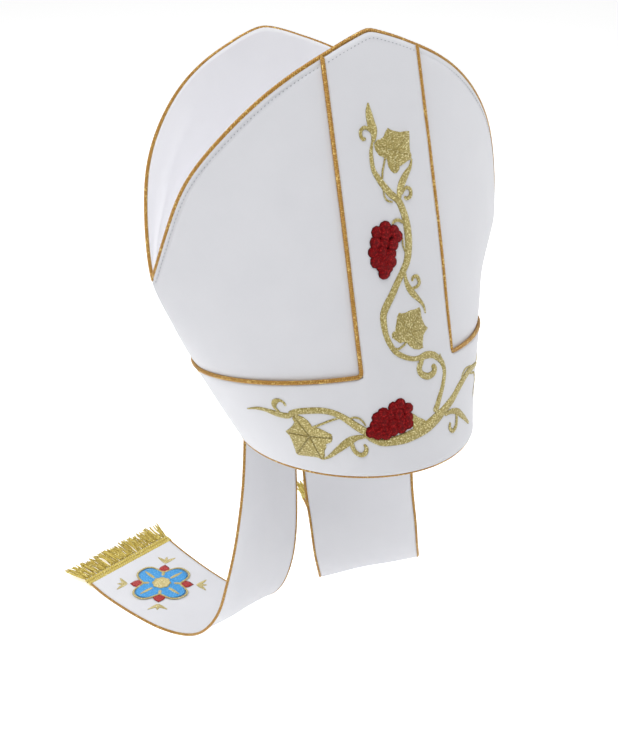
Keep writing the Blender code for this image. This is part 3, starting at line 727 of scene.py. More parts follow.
def horn(name, side, node):
    """One horn, from the rim to its peak."""
    shares = [math.sin(math.pi * (j / HORN_COLUMNS - 0.5)) for j in range(HORN_COLUMNS + 1)]
    tops = [below_edge(side, share, TURNED_EDGE) for share in shares]
    marks = {}

    def place(u, v):
        j = round(u * HORN_COLUMNS)
        foot = rim_height(side, shares[j])
        height = foot + (tops[j] - foot) * (1.0 - (1.0 - v) ** 1.35)
        base = crown(side, shares[j], height)
        to_edge = edge_trees[side].find(base)[2]
        to_band = band_trees[side].find(base)[2]
        lift = swell(to_edge, PUFF) + swell(to_band, PUFF) - PUFF * 0.5
        lift += CLOTH_DRIFT * noise.noise(base * 24.0 + Vector((3.0, side, 0.0)))
        lift -= ROW_DEPTH * pressed_by(to_edge)
        lift *= min(1.0, to_edge / EDGE_FADE)
        foot_room = min(1.0, max(height - foot, 0.0) / FOOT_FADE)
        point = worn(side, shares[j], height, lift * foot_room)
        # How deep the stitched row presses here; the cloth's colour darkens by it as painted shade.
        marks[spot_key(point)] = pressed_by(to_edge)
        return point

    def chart(u, v):
        return (math.pi * (u - 0.5) * FORK_HALF_WIDTH, v * 0.28)

    mesh = laid(HORN_COLUMNS, HORN_ROWS, place, chart, outward=away_from_middle)
    press(mesh, lambda point: marks.get(spot_key(point), 0.0))
    return wall(finished(name, [mesh], white_cloth, node), HORN_WALL)


horn("front_horn_cloth", FRONT, "front_horn")
horn("back_horn_cloth", BACK, "back_horn")

# %% [markdown]
# ## The bands
# The brow band and the strip up the middle are cut in one piece, an upside-down T, and laid on
# the horn. The grid for it covers the whole box of the T, and the cells beside the strip are
# deleted. The cloth puckers a little below the two inner corners, where the cord turns.
# %% Two T-shaped bands
WING_CELLS = 46
STRIP_CELLS = 30
BROW_ROWS = 26
STRIP_ROWS = 84
BAND_PUFF = 0.0007
BAND_DRIFT = 0.0003
CLOTH_TOP = LAYER_GAP + BAND_WALL
PUCKERS = ((-62.0, 0.00055), (-38.0, 0.0004), (-84.0, 0.0003))
PUCKER_LENGTH = 0.045
PUCKER_WIDTH = 0.0032


def pucker(x, height):
    """Small folds that run out and down from the T's inner corners."""
    rise = 0.0
    for sign in (RIGHT, LEFT):
        for turn, size in PUCKERS:
            heading = Vector((-sign * math.cos(math.radians(turn)), math.sin(math.radians(turn))))
            offset = Vector((x - sign * STRIP_HALF_WIDTH, height - BAND_HEIGHT))
            along = offset.dot(heading)
            aside = abs(offset.cross(heading))
            if 0.0 < along < PUCKER_LENGTH:
                fade = math.sin(math.pi * along / PUCKER_LENGTH) ** 0.7
                rise += size * fade * math.exp(-((aside / PUCKER_WIDTH) ** 2))
    return rise


def cloth_rise(side, point):
    """How far a band's cloth stands up at a place."""
    to_band = band_trees[side].find(point)[2]
    return swell(to_band, BAND_PUFF) + BAND_DRIFT * noise.noise(point * 30.0)


def band(name, side, node):
    """The brow band with its strip."""
    room = 0.0008
    band_top = BAND_HEIGHT - room
    columns = 2 * WING_CELLS + STRIP_CELLS
    rows = BROW_ROWS + STRIP_ROWS
    first = WING_CELLS
    last = WING_CELLS + STRIP_CELLS

    def share_at(j, height):
        sign = -1.0 if j < columns / 2 else 1.0
        strip = (strip_half_width(height) - room) / half_width(height, sign)
        if first <= j <= last:
            return strip * (2.0 * (j - first) / STRIP_CELLS - 1.0)
        outer = first - j if j < first else j - last
        angle = math.asin(strip)
        angle += (math.pi / 2 - angle) * outer / WING_CELLS
        return sign * math.sin(angle)

    tops = {}
    for j in range(first, last + 1):
        part = abs(2.0 * (j - first) / STRIP_CELLS - 1.0)
        height = edge_height(side, lambda z: part * (strip_half_width(z) - room))
        tops[j] = below_edge(side, share_at(j, height), TURNED_EDGE)

    def place(u, v):
        j = round(u * columns)
        i = round(v * rows)
        if i <= BROW_ROWS:
            foot = rim_height(side, share_at(j, 0.0))
            height = foot + (band_top - foot) * i / BROW_ROWS
        else:
            top = tops[min(max(j, first), last)]
            height = band_top + (top - band_top) * (i - BROW_ROWS) / STRIP_ROWS
        share = share_at(j, height)
        base = crown(side, share, height)
        lift = cloth_rise(side, base)
        if side == FRONT:
            lift += pucker(base.x, height)
        lift *= min(1.0, edge_trees[side].find(base)[2] / EDGE_FADE)
        return worn(side, share, height, CLOTH_TOP + lift)

    def chart(u, v):
        return (u * 0.44, v * 0.28)

    def in_the_t(u, v):
        return v * rows < BROW_ROWS or first < u * columns < last

    mesh = laid(columns, rows, place, chart, keep_cell=in_the_t, outward=away_from_middle)
    return wall(finished(name, [mesh], white_cloth, node), BAND_WALL + LAYER_GAP * 0.9)


band("front_band_cloth", FRONT, "front_band")
band("back_band_cloth", BACK, "back_band")

# %% [markdown]
# ## The lining between the horns
# A soft lining is sewn to both horns' edges and sags between them in a trough. It hangs from its
# seams, so it wrinkles near them and bends into one long soft crease down the middle of each side.
# The folds are laid in by a rule, because the cloth is short and the photograph shows where they are.
# %% One sheet of lining
GUSSET_WALL = 0.0008
GUSSET_INSIDE = -(HORN_WALL + 0.0007)
GUSSET_SAG = 0.0200
GUSSET_COLUMNS = 120
GUSSET_ROWS = 110
GUSSET_ANGLE = math.radians(85.0)
GUSSET_ROOMS = {FRONT: 0.0012, BACK: 0.0001}
TROUGH = 0.42
LINING_FOLDS = (
    # across from -1 to 1, up from 0 to 1, size in metres, and slope
    (-0.86, 0.60, 0.0024, 5.0),
    (-0.80, 0.42, 0.0019, 4.0),
    (-0.62, 0.78, 0.0016, 4.5),
    (-0.90, 0.35, 0.0017, 6.5),
    (0.84, 0.50, 0.0013, -5.0),
    (0.78, 0.36, 0.0011, -4.0),
)


def lining_fold(side, share, up):
    """How far the lining stands in from the horn's wall: wrinkles and one crease."""
    fold = 0.0011 * math.exp(-(((share - 0.10 * side) / 0.05) ** 2)) * math.sin(math.pi * up) ** 0.5
    for middle, rise, size, slope in LINING_FOLDS:
        across = (share - middle) * slope
        fold += size * math.exp(-(((up - rise - across * 0.10) / 0.05) ** 2 + (across / 0.8) ** 2))
    fold += 0.0006 * noise.noise(Vector((share * 7.0, up * 5.0, 3.0 + side)))
    return fold


def lining_sheet():
    """Down one inner face, across in a trough and up the other."""
    turns = [GUSSET_ANGLE * (2.0 * j / GUSSET_COLUMNS - 1.0) for j in range(GUSSET_COLUMNS + 1)]
    limit = math.sin(GUSSET_ANGLE)
    shares = [math.sin(turn) for turn in turns]
    tops = {}
    for side, room in GUSSET_ROOMS.items():
        tops[side] = [below_edge(side, share, room) for share in shares]

    def place(u, v):
        j = round(u * GUSSET_COLUMNS)
        share = shares[j]
        side = FRONT if v < 0.5 else BACK
        part = abs(2.0 * v - 1.0)
        bottom = FORK_HEIGHT - GUSSET_SAG * (1.0 - share * share)
        rise = tops[side][j] - bottom
        if part < 0.5:
            turn = math.radians(90.0) * part / 0.5
            height = bottom + TROUGH * rise * (1.0 - math.cos(turn))
            spread = math.sin(turn)
        else:
            height = bottom + rise * (TROUGH + (1.0 - TROUGH) * (part - 0.5) / 0.5)
            spread = 1.0
        fold = lining_fold(side, share / limit, part) * math.sin(math.pi * part) ** 0.5
        point = crown(side, share, height, GUSSET_INSIDE - fold)
        seam = SIDE_LEAN * height / FORK_HEIGHT
        point.y = seam + (point.y - seam) * spread
        return TIP @ point

    mesh = laid(
        GUSSET_COLUMNS,
        GUSSET_ROWS,
        place,
        lambda u, v: (u * 0.28, v * 0.34),
        outward=lambda point: Vector((0.0, 0.06 - point.y, 0.06)),
    )
    area = sum(face.calc_area() for face in mesh.faces)
    piece = finished("crown_lining", [mesh], lining_cloth_painted_lighter, "crown_gusset")
    return wall(piece, GUSSET_WALL), area


lining, lining_area = lining_sheet()
max(lining_area, 0.3 * 0.300 * 0.345)
print("lining area", round(lining_area, 4))

# %% [markdown]
# ## Sweeping a cord
# A cord is a long grid rolled into a tube. Its rings stand a millimetre apart along the path, and
# each ring takes its direction from the one before, so the tube never twists. The chart counts
# metres along the cord and round it, which is what the wound yarn needs.


# %% Roll a grid round a path
RING_STEP = 0.0011
YARN_PITCH = 0.0033
UP = Vector((0.0, 0.0, 1.0))


def resampled(path, lengths, count):
    """Points at even steps along a path whose length up to each point is known."""
    points = []
    span = 0
    for i in range(count + 1):
        at = lengths[-1] * i / count
        while span < len(path) - 2 and lengths[span + 1] < at:
            span += 1
        size = max(lengths[span + 1] - lengths[span], 1e-9)
        points.append(path[span].lerp(path[span + 1], min((at - lengths[span]) / size, 1.0)))
    return points


def spaced(path, step):
    """Points about a step apart along a path, and the path's length."""
    lengths = [0.0]
    for a, b in zip(path, path[1:]):
        lengths.append(lengths[-1] + (b - a).length)
    count = max(int(round(lengths[-1] / step)), 2)
    return resampled(path, lengths, count), lengths[-1]


def frames_along(points, first):
    """For each point its two side directions, each turned as little as possible from the last."""
    frames = []
    side = first
    for i in range(len(points)):
        along = (points[min(i + 1, len(points) - 1)] - points[max(i - 1, 0)]).normalized()
        side = (side - along * side.dot(along)).normalized()
        frames.append((side, along.cross(side)))
    return frames


def cord_tube(path, radius, first=UP, step=RING_STEP, sides=10, closed=False, ridge=0.05):
    """A round cord with a slight ridge where its yarn is wound."""
    points, length = spaced(path + path[:1] if closed else path, step)
    frames = frames_along(points, first)
    rings = len(points) - 1

    def place(u, v):
        i = round(v * rings)
        turn = 2.0 * math.pi * (round(u * sides) % sides) / sides
        at = length * v
        size = radius * (1.0 + ridge * math.sin(2.0 * math.pi * at / YARN_PITCH + turn))
        if not closed:
            size *= math.sqrt(max(1.0 - max(1.0 - min(at, length - at) / radius, 0.0) ** 2, 0.0))
        ring = i % rings if closed else i
        out, over = frames[ring]
        return points[ring] + (out * math.cos(turn) + over * math.sin(turn)) * size

    def chart(u, v):
        return (v * length, u * 2.0 * math.pi * radius)

    return laid(sides, rings, place, chart, closed=True)


def knot(place, radius, scale):
    """A small wound knob where cords meet."""
    mesh = bmesh.new()
    layer = mesh.loops.layers.uv.new("chart")
    bmesh.ops.create_uvsphere(mesh, u_segments=16, v_segments=10, radius=radius)
    for face in mesh.faces:
        for loop in face.loops:
            loop[layer].uv = (loop.vert.co.z, math.atan2(loop.vert.co.y, loop.vert.co.x) * radius)
    for vert in mesh.verts:
        vert.co *= 1.0 + 0.12 * noise.noise(vert.co * 900.0)
    bmesh.ops.scale(mesh, vec=scale, verts=mesh.verts)
    bmesh.ops.translate(mesh, vec=place, verts=mesh.verts)
    return mesh


print("a cord 0.1 m long has", len(spaced([UP * 0.0, UP * 0.1], RING_STEP)[0]), "rings")

# %% [markdown]
# ## Cords on the crown
# One cord follows each horn's edge, one runs down each side of both strips and out along the
# brow band, and a thinner one goes round the rim. Those on the horns meet at the sides, where
# their ends are bound in a small knob.
# %% The crown's cords
EDGE_CORD_RADIUS = {FRONT: 0.0015, BACK: 0.0013}
BAND_CORD_RADIUS = 0.0015
BAND_CORD_LAY = SEAM_GAP + 0.0009
RIM_PIPING_RADIUS = 0.0012
EDGE_KNOT = (0.0020, (0.9, 1.0, 1.2))
BAND_KNOT = (0.0019, (0.9, 1.1, 1.0))

for side, word in ((FRONT, "front"), (BACK, "back")):
    angles = [math.radians(89.6) * (j / 200 - 1.0) for j in range(401)]
    path = [TIP @ horn_edge(side, math.sin(angle), -HORN_WALL / 2) for angle in angles]
    meshes = [
        cord_tube(path, EDGE_CORD_RADIUS[side]),
        knot(path[0] + Vector((0.0003, 0.0, -0.0004)), *EDGE_KNOT),
        knot(path[-1] + Vector((-0.0003, 0.0, -0.0004)), *EDGE_KNOT),
    ]
    finished(f"{word}_edge_cord", meshes, gold_piping, f"{word}_edge_piping")
    for sign, hand in ((RIGHT, "right"), (LEFT, "left")):
        path = [TIP @ point for point in band_line(side, sign, BAND_CORD_LAY)]
        tube = cord_tube(path, BAND_CORD_RADIUS, Vector((float(sign), 0.0, 0.0)))
        meshes = [tube, knot(path[-1], *BAND_KNOT)]
        finished(f"{word}_band_cord_{hand}", meshes, gold_piping, f"{word}_band_piping_{hand}")

ring = []
for step in range(360):
    angle = 2.0 * math.pi * (step + 0.5) / 360
    side = FRONT if math.cos(angle) > 0.0 else BACK
    point = crown(side, math.sin(angle), 0.0, 0.0003)
    point.z = rim_height(side, math.sin(angle)) - SEAM_GAP - RIM_PIPING_RADIUS + 0.0006
    ring.append(TIP @ point)
tube = cord_tube(ring, RIM_PIPING_RADIUS, closed=True, sides=8)
finished("rim_cord", [tube], gold_piping, "rim_piping")

# %% [markdown]
# ## Rows of small stitches
# A row of small stitches runs inside each horn's edge and holds the turned cloth down. A stitch
# is repeated hundreds of times, so each is a ball of only a few faces, drawn out along the row
# and half sunk in the cloth. The stitches are coloured grey, darker than the white thread, as
# painted shade of the holes where the thread goes into the cloth.
# %% Stitches inside the horns' edges
STITCH_PITCH = 0.0029
STITCH_SIZE = (0.0013 / 2, 0.00026, 0.00026, 1.0)
# Grey for painted shade in the stitch holes; the real thread is white like the cloth.
stitches_in_painted_shade = satin_thread(
    "stitches in painted shade",
    ((138, 140, 148), (158, 160, 168), (196, 198, 204)),
    pitch=0.0006,
    bump=0.00005,
    roughness=0.6,
)


def stitch_row(line, outs):
    """A stitch at each point of a line, along the line and half in the cloth."""
    mesh = bmesh.new()
    mesh.loops.layers.uv.new("chart")
    for i in range(1, len(line) - 1):
        along = (line[i + 1] - line[i - 1]).normalized()
        out = (outs[i] - along * outs[i].dot(along)).normalized()
        turn = Matrix((along, along.cross(out) * -1.0, out)).transposed().to_4x4()
        matrix = Matrix.Translation(line[i]) @ turn @ Matrix.Diagonal(STITCH_SIZE)
        bmesh.ops.create_uvsphere(mesh, u_segments=6, v_segments=5, radius=1.0, matrix=matrix)
    bmesh.ops.recalc_face_normals(mesh, faces=mesh.faces)
    return mesh


for side, word in ((FRONT, "front"), (BACK, "back")):
    line = []
    for j in range(400):
        share = math.sin(math.radians(83.0) * (j / 199.5 - 1.0))
        height = below_edge(side, share, STITCH_ROW)
        on_strip = abs(share) * half_width(height, share) < strip_half_width(height) - 0.001
        line.append(worn(side, share, height, PUFF * 0.62 + CLOTH_TOP * on_strip))
    points, length = spaced(line, STITCH_PITCH)
    mesh = stitch_row(points, [away_from_middle(point) for point in points])
    finished(f"{word}_edge_stitches", [mesh], stitches_in_painted_shade)
    print(word, "row", round(length, 3), "m")

# %% [markdown]
# ## A chart for the embroiderer
# The vine is marked out on the band by how far across and how far up it lies. Across 1 is the
# strip's edge and 2 is the side seam; up 1 is the brow band's top and 2 is the peak. A stitch's
# size is in metres, so a small chart turns metres to the side and upwards into those measures.
# %% Places on the band
def on_band(across, up, lift):
    """A place on the front band, a lift above its cloth."""
    if up <= 1.0:
        height = up * BAND_HEIGHT
    else:
        height = BAND_HEIGHT + (up - 1.0) * (PEAK_HEIGHT - BAND_HEIGHT)
    strip = strip_half_width(height)
    beyond = max(abs(across) - 1.0, 0.0)
    wide = half_width(height, across)
    reach = min(abs(across), 1.0) * strip + beyond * (wide - strip)
    share = math.copysign(reach, across) / wide
    return crown(FRONT, share, height, CLOTH_TOP + lift)


def stitched(across, up, lift):
    """A place on the worn hat's front band, a lift above its real cloth."""
    point = on_band(across, up, 0.0)
    return TIP @ on_band(across, up, lift + cloth_rise(FRONT, point))


def steps_at(across, up):
    """How far one unit across and one unit up reach at a place on the band."""
    step = 0.01
    side = on_band(across + step, up, 0.0) - on_band(across - step, up, 0.0)
    rise = on_band(across, up + step, 0.0) - on_band(across, up - step, 0.0)
    return side / (2.0 * step), rise / (2.0 * step)


def rounded(rows, per_span):
    """A rounded path through rows of numbers, with per_span steps between each two."""
    rows = [Vector(row) for row in rows]
    ends = [rows[0] * 2 - rows[1]] + rows + [rows[-1] * 2 - rows[-2]]
    path = []
    for a, b, c, d in zip(ends, ends[1:], ends[2:], ends[3:]):
        for step in range(per_span):
            t = step / per_span
            path.append(
                0.5 * (2 * b + (c - a) * t + (2 * a - 5 * b + 4 * c - d) * t**2)
                + 0.5 * (3 * b - a - 3 * c + d) * t**3
            )
    return path + [rows[-1]]


print("strip at up 1.5 is", round(2000 * strip_half_width(0.175), 1), "mm wide")

# %% [markdown]
# ## Stems, curls and narrow leaves
# A stem is a ribbon of satin stitches over padding, so its section is a low dome, and each stitch
# ends a hair further out or in than the next. The grid is rolled round the path as for a cord,
# but flat below, and its width follows the table.
# %% A satin ribbon
THREAD_LIFT = 0.0009
LOW_THREAD_LIFT = 0.0004
STITCH_STEP = 0.00042
STITCHES_OUT = 0.00022
STITCHES_IN = -0.00010
DOME = [(-math.cos(math.pi * k / 7), math.sin(math.pi * k / 7) ** 0.8) for k in range(8)]
RIBBON_SECTION = DOME + [(0.5, -0.12), (-0.5, -0.12)]
BAND_SURFACE = (stitched, steps_at)


def ribbon(rows, per_span=8, lift=THREAD_LIFT, surface=BAND_SURFACE, floor=0.0):
    """A domed ribbon along rows of across, up and width in metres."""
    put, measure = surface
    path = rounded(rows, per_span)
    lengths = [0.0]
    for a, b in zip(path, path[1:]):
        side, rise = measure(a.x, a.y)
        gap = side * (b.x - a.x) + rise * (b.y - a.y)
        lengths.append(lengths[-1] + gap.length)
    full = lengths[-1]
    count = max(int(full / STITCH_STEP), 6)
    dense = resampled(path, lengths, count)
    sides = len(RIBBON_SECTION)
    frames = []
    for i, point in enumerate(dense):
        side, rise = measure(point.x, point.y)
        step = dense[min(i + 1, count)] - dense[max(i - 1, 0)]
        along = side * step.x + rise * step.y
        aside = along.cross(side.cross(rise)).normalized()
        frames.append((aside.dot(side) / side.length_squared, aside.dot(rise) / rise.length_squared))

    def place(u, v):
        i = round(v * count)
        out, over = RIBBON_SECTION[round(u * sides) % sides]
        at = full * i / count
        end = min(at, full - at)
        wide = dense[i].z / 2
        wide *= math.sqrt(max(1.0 - max(1.0 - end / max(wide, 1e-5), 0.0) ** 2, 0.0))
        tooth = STITCHES_OUT if i % 2 else STITCHES_IN
        wide = max(wide + tooth * min(end / 0.0005, 1.0), 0.0)
        high = lift * min(1.0, 0.35 + wide / 0.0016) * min(end / 0.0006, 1.0)
        across, up = frames[i]
        offset = wide * out
        return put(dense[i].x + across * offset, dense[i].y + up * offset, floor + high * over)

    def chart(u, v):
        out = RIBBON_SECTION[round(u * sides) % sides][0]
        return (v * full, out * dense[round(v * count)].z / 2)

    return laid(sides, count, place, chart, closed=True)


print("ribbon section has", len(RIBBON_SECTION), "points")

# %% The stems
def measured(rows):
    """Turns whole numbers into places across and up, and a width in metres if a row has one."""
    return [tuple(part / unit for part, unit in zip(row, (1000, 1000, 10000))) for row in rows]


STEMS = {
    # across and up in thousandths, and a width in tenths of a millimetre
    "vine_stem": [
        [
            (-262, 1692, 13), (-318, 1664, 23), (-330, 1640, 27), (-318, 1608, 31), (-251, 1585, 38),
            (-162, 1560, 44), (-29, 1531, 47), (113, 1508, 47), (190, 1473, 50), (220, 1446, 54),
            (232, 1414, 56), (215, 1375, 56), (145, 1329, 52), (27, 1299, 48), (-131, 1264, 48),
            (-254, 1234, 50), (-386, 1205, 52), (-464, 1181, 48), (-480, 1152, 44), (-462, 1117, 38),
            (-410, 1089, 37), (-310, 1059, 36), (-150, 1038, 34), (22, 1025, 32), (169, 1022, 36),
            (291, 1024, 50), (414, 1022, 48), (544, 1011, 42), (650, 978, 39), (703, 915, 37),
            (714, 845, 37), (683, 775, 36), (615, 690, 36), (527, 613, 39), (440, 536, 43),
            (350, 465, 48),
        ],
    ],
    "vine_base_stem": [
        [
            (-1051, 392, 18), (-976, 345, 34), (-814, 297, 48), (-630, 290, 60), (-380, 295, 73),
            (-104, 320, 78), (120, 349, 79), (350, 398, 77), (578, 455, 66), (830, 515, 58),
            (1030, 590, 56), (1170, 650, 54), (1300, 682, 48), (1460, 672, 36), (1600, 640, 22),
        ],
        [
            (-141, 523, 12), (-105, 466, 50), (-75, 405, 76), (-40, 345, 76),
        ],
        [
            (-60, 470, 16), (43, 421, 30), (115, 380, 34),
        ],
    ],
    "vine_branch_left": [
        [
            (-960, 372, 34), (-1003, 409, 52), (-1081, 471, 56), (-1152, 542, 54), (-1218, 612, 50),
            (-1295, 668, 48), (-1375, 694, 48), (-1464, 696, 47), (-1552, 685, 44), (-1620, 655, 34),
        ],
    ],
}
for name, group in STEMS.items():
    meshes = [ribbon(measured(rows)) for rows in group]
    finished(f"{name}_stitches", meshes, gold_thread, name)

# %% [markdown]
# ## Buds and leaflets with their curls
# Each bud or leaflet is a ribbon that swells in the middle and ends in a point, and most throw out
# a small hook. The hooks, leaf stalks and tendrils are thin ribbons of their own, and each goes
# with the piece that it grows from.
# %% Leaflets, buds, hooks and tendrils
SPRIGS = {
    "vine_bud_top": [
        [
            (-250, 1800, 6), (-262, 1774, 42), (-245, 1743, 56), (-215, 1722, 54), (-225, 1702, 36),
            (-262, 1686, 24),
        ],
        [
            (-250, 1714, 14), (-313, 1726, 22), (-387, 1732, 24), (-465, 1725, 23), (-478, 1711, 22),
            (-443, 1700, 22), (-384, 1702, 16),
        ],
    ],
    "vine_leaflet_top": [
        [
            (134, 1512, 30), (165, 1536, 42), (240, 1558, 52), (350, 1580, 44), (455, 1598, 24),
            (520, 1622, 9),
        ],
        [
            (190, 1524, 16), (245, 1535, 20), (330, 1541, 22), (402, 1531, 24), (380, 1514, 26),
            (290, 1509, 22), (250, 1518, 14),
        ],
        [
            (-176, 1552, 8), (-165, 1527, 10), (-113, 1514, 12), (-7, 1507, 10),
        ],
        [
            (-84, 1443, 12), (-32, 1451, 20), (60, 1452, 22), (160, 1441, 16),
        ],
        [
            (98, 1398, 8), (84, 1376, 10), (120, 1352, 9),
        ],
    ],
    "vine_leaflet_middle": [
        [
            (63, 1296, 14), (68, 1268, 28), (112, 1245, 40), (190, 1224, 44), (300, 1202, 30),
            (393, 1178, 18), (419, 1152, 6),
        ],
        [
            (150, 1230, 18), (215, 1240, 18), (280, 1241, 20), (352, 1252, 24), (318, 1272, 26),
            (230, 1273, 22), (196, 1261, 14),
        ],
    ],
    "vine_stem_curl": [
        [
            (270, 1022, 24), (185, 1004, 38), (135, 963, 40), (170, 903, 42), (300, 860, 46),
            (436, 872, 45), (482, 917, 42), (432, 962, 34),
        ],
    ],
    "vine_leaflet_right": [
        [
            (580, 400, 20), (776, 400, 34), (952, 357, 46), (1068, 280, 38), (1232, 139, 14),
        ],
        [
            (905, 365, 16), (890, 290, 24), (841, 224, 28), (734, 195, 28), (663, 243, 24),
            (700, 300, 14),
        ],
    ],
    "vine_bud_right": [
        [
            (1560, 645, 18), (1640, 655, 42), (1700, 665, 50), (1760, 670, 30), (1800, 670, 8),
        ],
        [
            (1120, 670, 10), (1160, 710, 14), (1240, 738, 14), (1380, 712, 10),
        ],
        [
            (1340, 645, 10), (1480, 590, 14), (1545, 480, 14), (1470, 400, 12), (1475, 329, 7),
        ],
    ],
    "vine_bud_left": [
        [
            (-1600, 650, 24), (-1645, 634, 46), (-1690, 644, 56), (-1733, 664, 50), (-1768, 683, 36),
            (-1806, 690, 26), (-1850, 678, 12), (-1885, 655, 5),
        ],
        [
            (-1680, 668, 18), (-1697, 735, 28), (-1675, 795, 30), (-1642, 812, 26), (-1621, 786, 20),
            (-1618, 742, 10),
        ],
    ],
    "vine_leaflet_left": [
        [
            (-1030, 378, 20), (-1121, 377, 36), (-1193, 350, 50), (-1271, 298, 46), (-1353, 235, 32),
            (-1427, 177, 20), (-1500, 140, 9),
        ],
        [
            (-1190, 335, 30), (-1174, 240, 32), (-1128, 190, 34), (-1076, 198, 32), (-1048, 250, 26),
            (-1068, 302, 14),
        ],
        [
            (-1170, 575, 12), (-1120, 594, 13), (-1074, 578, 13), (-1045, 543, 12), (-1020, 490, 10),
        ],
    ],
}
NEXT_LAYER = 0.00008
for name, group in SPRIGS.items():
    lift = LOW_THREAD_LIFT if name == "vine_bud_right" else THREAD_LIFT
    meshes = []
    for number, rows in enumerate(group):
        meshes.append(ribbon(measured(rows), lift=lift, floor=NEXT_LAYER * number))
    finished(f"{name}_stitches", meshes, gold_thread, name)

# %% [markdown]
# ## Vine leaves
# A vine leaf has five lobes with sharp corners. Its outline is a short table, and rings of the
# grid shrink from the outline to the middle, so the patch is domed like padded stitching. Veins
# are left as grooves where two fields of stitches meet, and the thread darkens in them as painted shade.
# %% Leaf outlines
LEAVES = {
    "vine_leaf_top": {
        "centre": (155, 1652),
        "outline": [
            (-243, 1683), (-174, 1692), (-100, 1693), (-32, 1698), (22, 1711), (84, 1721), (146, 1714),
            (236, 1708), (352, 1703), (463, 1703), (545, 1701), (533, 1684), (513, 1663), (505, 1642),
            (533, 1630), (504, 1619), (418, 1616), (337, 1610), (267, 1606), (224, 1605), (216, 1596),
            (153, 1588), (94, 1588), (32, 1597), (-12, 1612), (-19, 1631), (-88, 1640), (-175, 1648),
            (-229, 1662), (-246, 1675),
        ],
        "vein_ends": [
            (-230, 1680), (90, 1716), (530, 1698), (520, 1630), (120, 1595),
        ],
        "stalk": [
            (-45, 1642, 12), (-97, 1619, 12), (-140, 1601, 13), (-170, 1578, 12),
        ],
        "stitch_turn": 38.0,
        "groove": 0.00025,
    },
    "vine_leaf_middle": {
        "centre": (20, 1112),
        "outline": [
            (-153, 1177), (-103, 1173), (-21, 1172), (88, 1176), (196, 1175), (301, 1178), (324, 1168),
            (321, 1150), (345, 1133), (383, 1117), (447, 1106), (376, 1098), (321, 1088), (298, 1074),
            (281, 1061), (283, 1049), (188, 1047), (77, 1053), (-11, 1066), (-59, 1078), (-120, 1083),
            (-205, 1082), (-284, 1094), (-350, 1104), (-353, 1116), (-312, 1123), (-275, 1122),
            (-258, 1135), (-226, 1151), (-205, 1165),
        ],
        "vein_ends": [
            (-180, 1170), (290, 1172), (430, 1106), (240, 1052), (-335, 1108),
        ],
        "stalk": [
            (-70, 1090, 12), (-92, 1079, 14), (-163, 1071, 14), (-255, 1066, 14), (-350, 1073, 12),
        ],
        "stitch_turn": -30.0,
        "groove": 0.00025,
    },
    "vine_leaf_left": {
        "centre": (-1534, 406),
        "outline": [
            (-1600, 649), (-1567, 653), (-1528, 628), (-1503, 591), (-1489, 546), (-1488, 498),
            (-1445, 506), (-1408, 480), (-1377, 452), (-1344, 429), (-1345, 384), (-1368, 339),
            (-1400, 327), (-1422, 316), (-1426, 283), (-1457, 235), (-1467, 183), (-1502, 122),
            (-1527, 146), (-1559, 157), (-1612, 156), (-1664, 156), (-1703, 154), (-1717, 169),
            (-1707, 224), (-1699, 312), (-1695, 392), (-1711, 444), (-1671, 480), (-1633, 524),
            (-1609, 567), (-1614, 601),
        ],
        "vein_ends": [
            (-1710, 167), (-1506, 127), (-1710, 440), (-1596, 643), (-1351, 389),
        ],
        "stalk": [
            (-1500, 495, 20), (-1444, 526, 14), (-1394, 550, 13), (-1330, 578, 13), (-1225, 612, 12),
        ],
        "stitch_turn": 62.0,
        "groove": 0.0006,
    },
}
LEAF_LIFT = 0.0011
VEIN_WIDTH = 0.0005
DEEPEST_GROOVE = 0.0006
print("leaf outlines of", [len(leaf["outline"]) for leaf in LEAVES.values()], "points")


# %% Leaf patches
def flat_offset(centre, across, up, measure):
    """Metres to the side and upwards from a centre."""
    side, rise = measure(*centre)
    return Vector(((across - centre[0]) * side.length, (up - centre[1]) * rise.length))


def vein_distance(point, end):
    """The distance from a point to the straight line from the centre to a vein's end."""
    part = min(max(point.dot(end) / end.length_squared, 0.0), 1.0)
    return (point - end * part).length


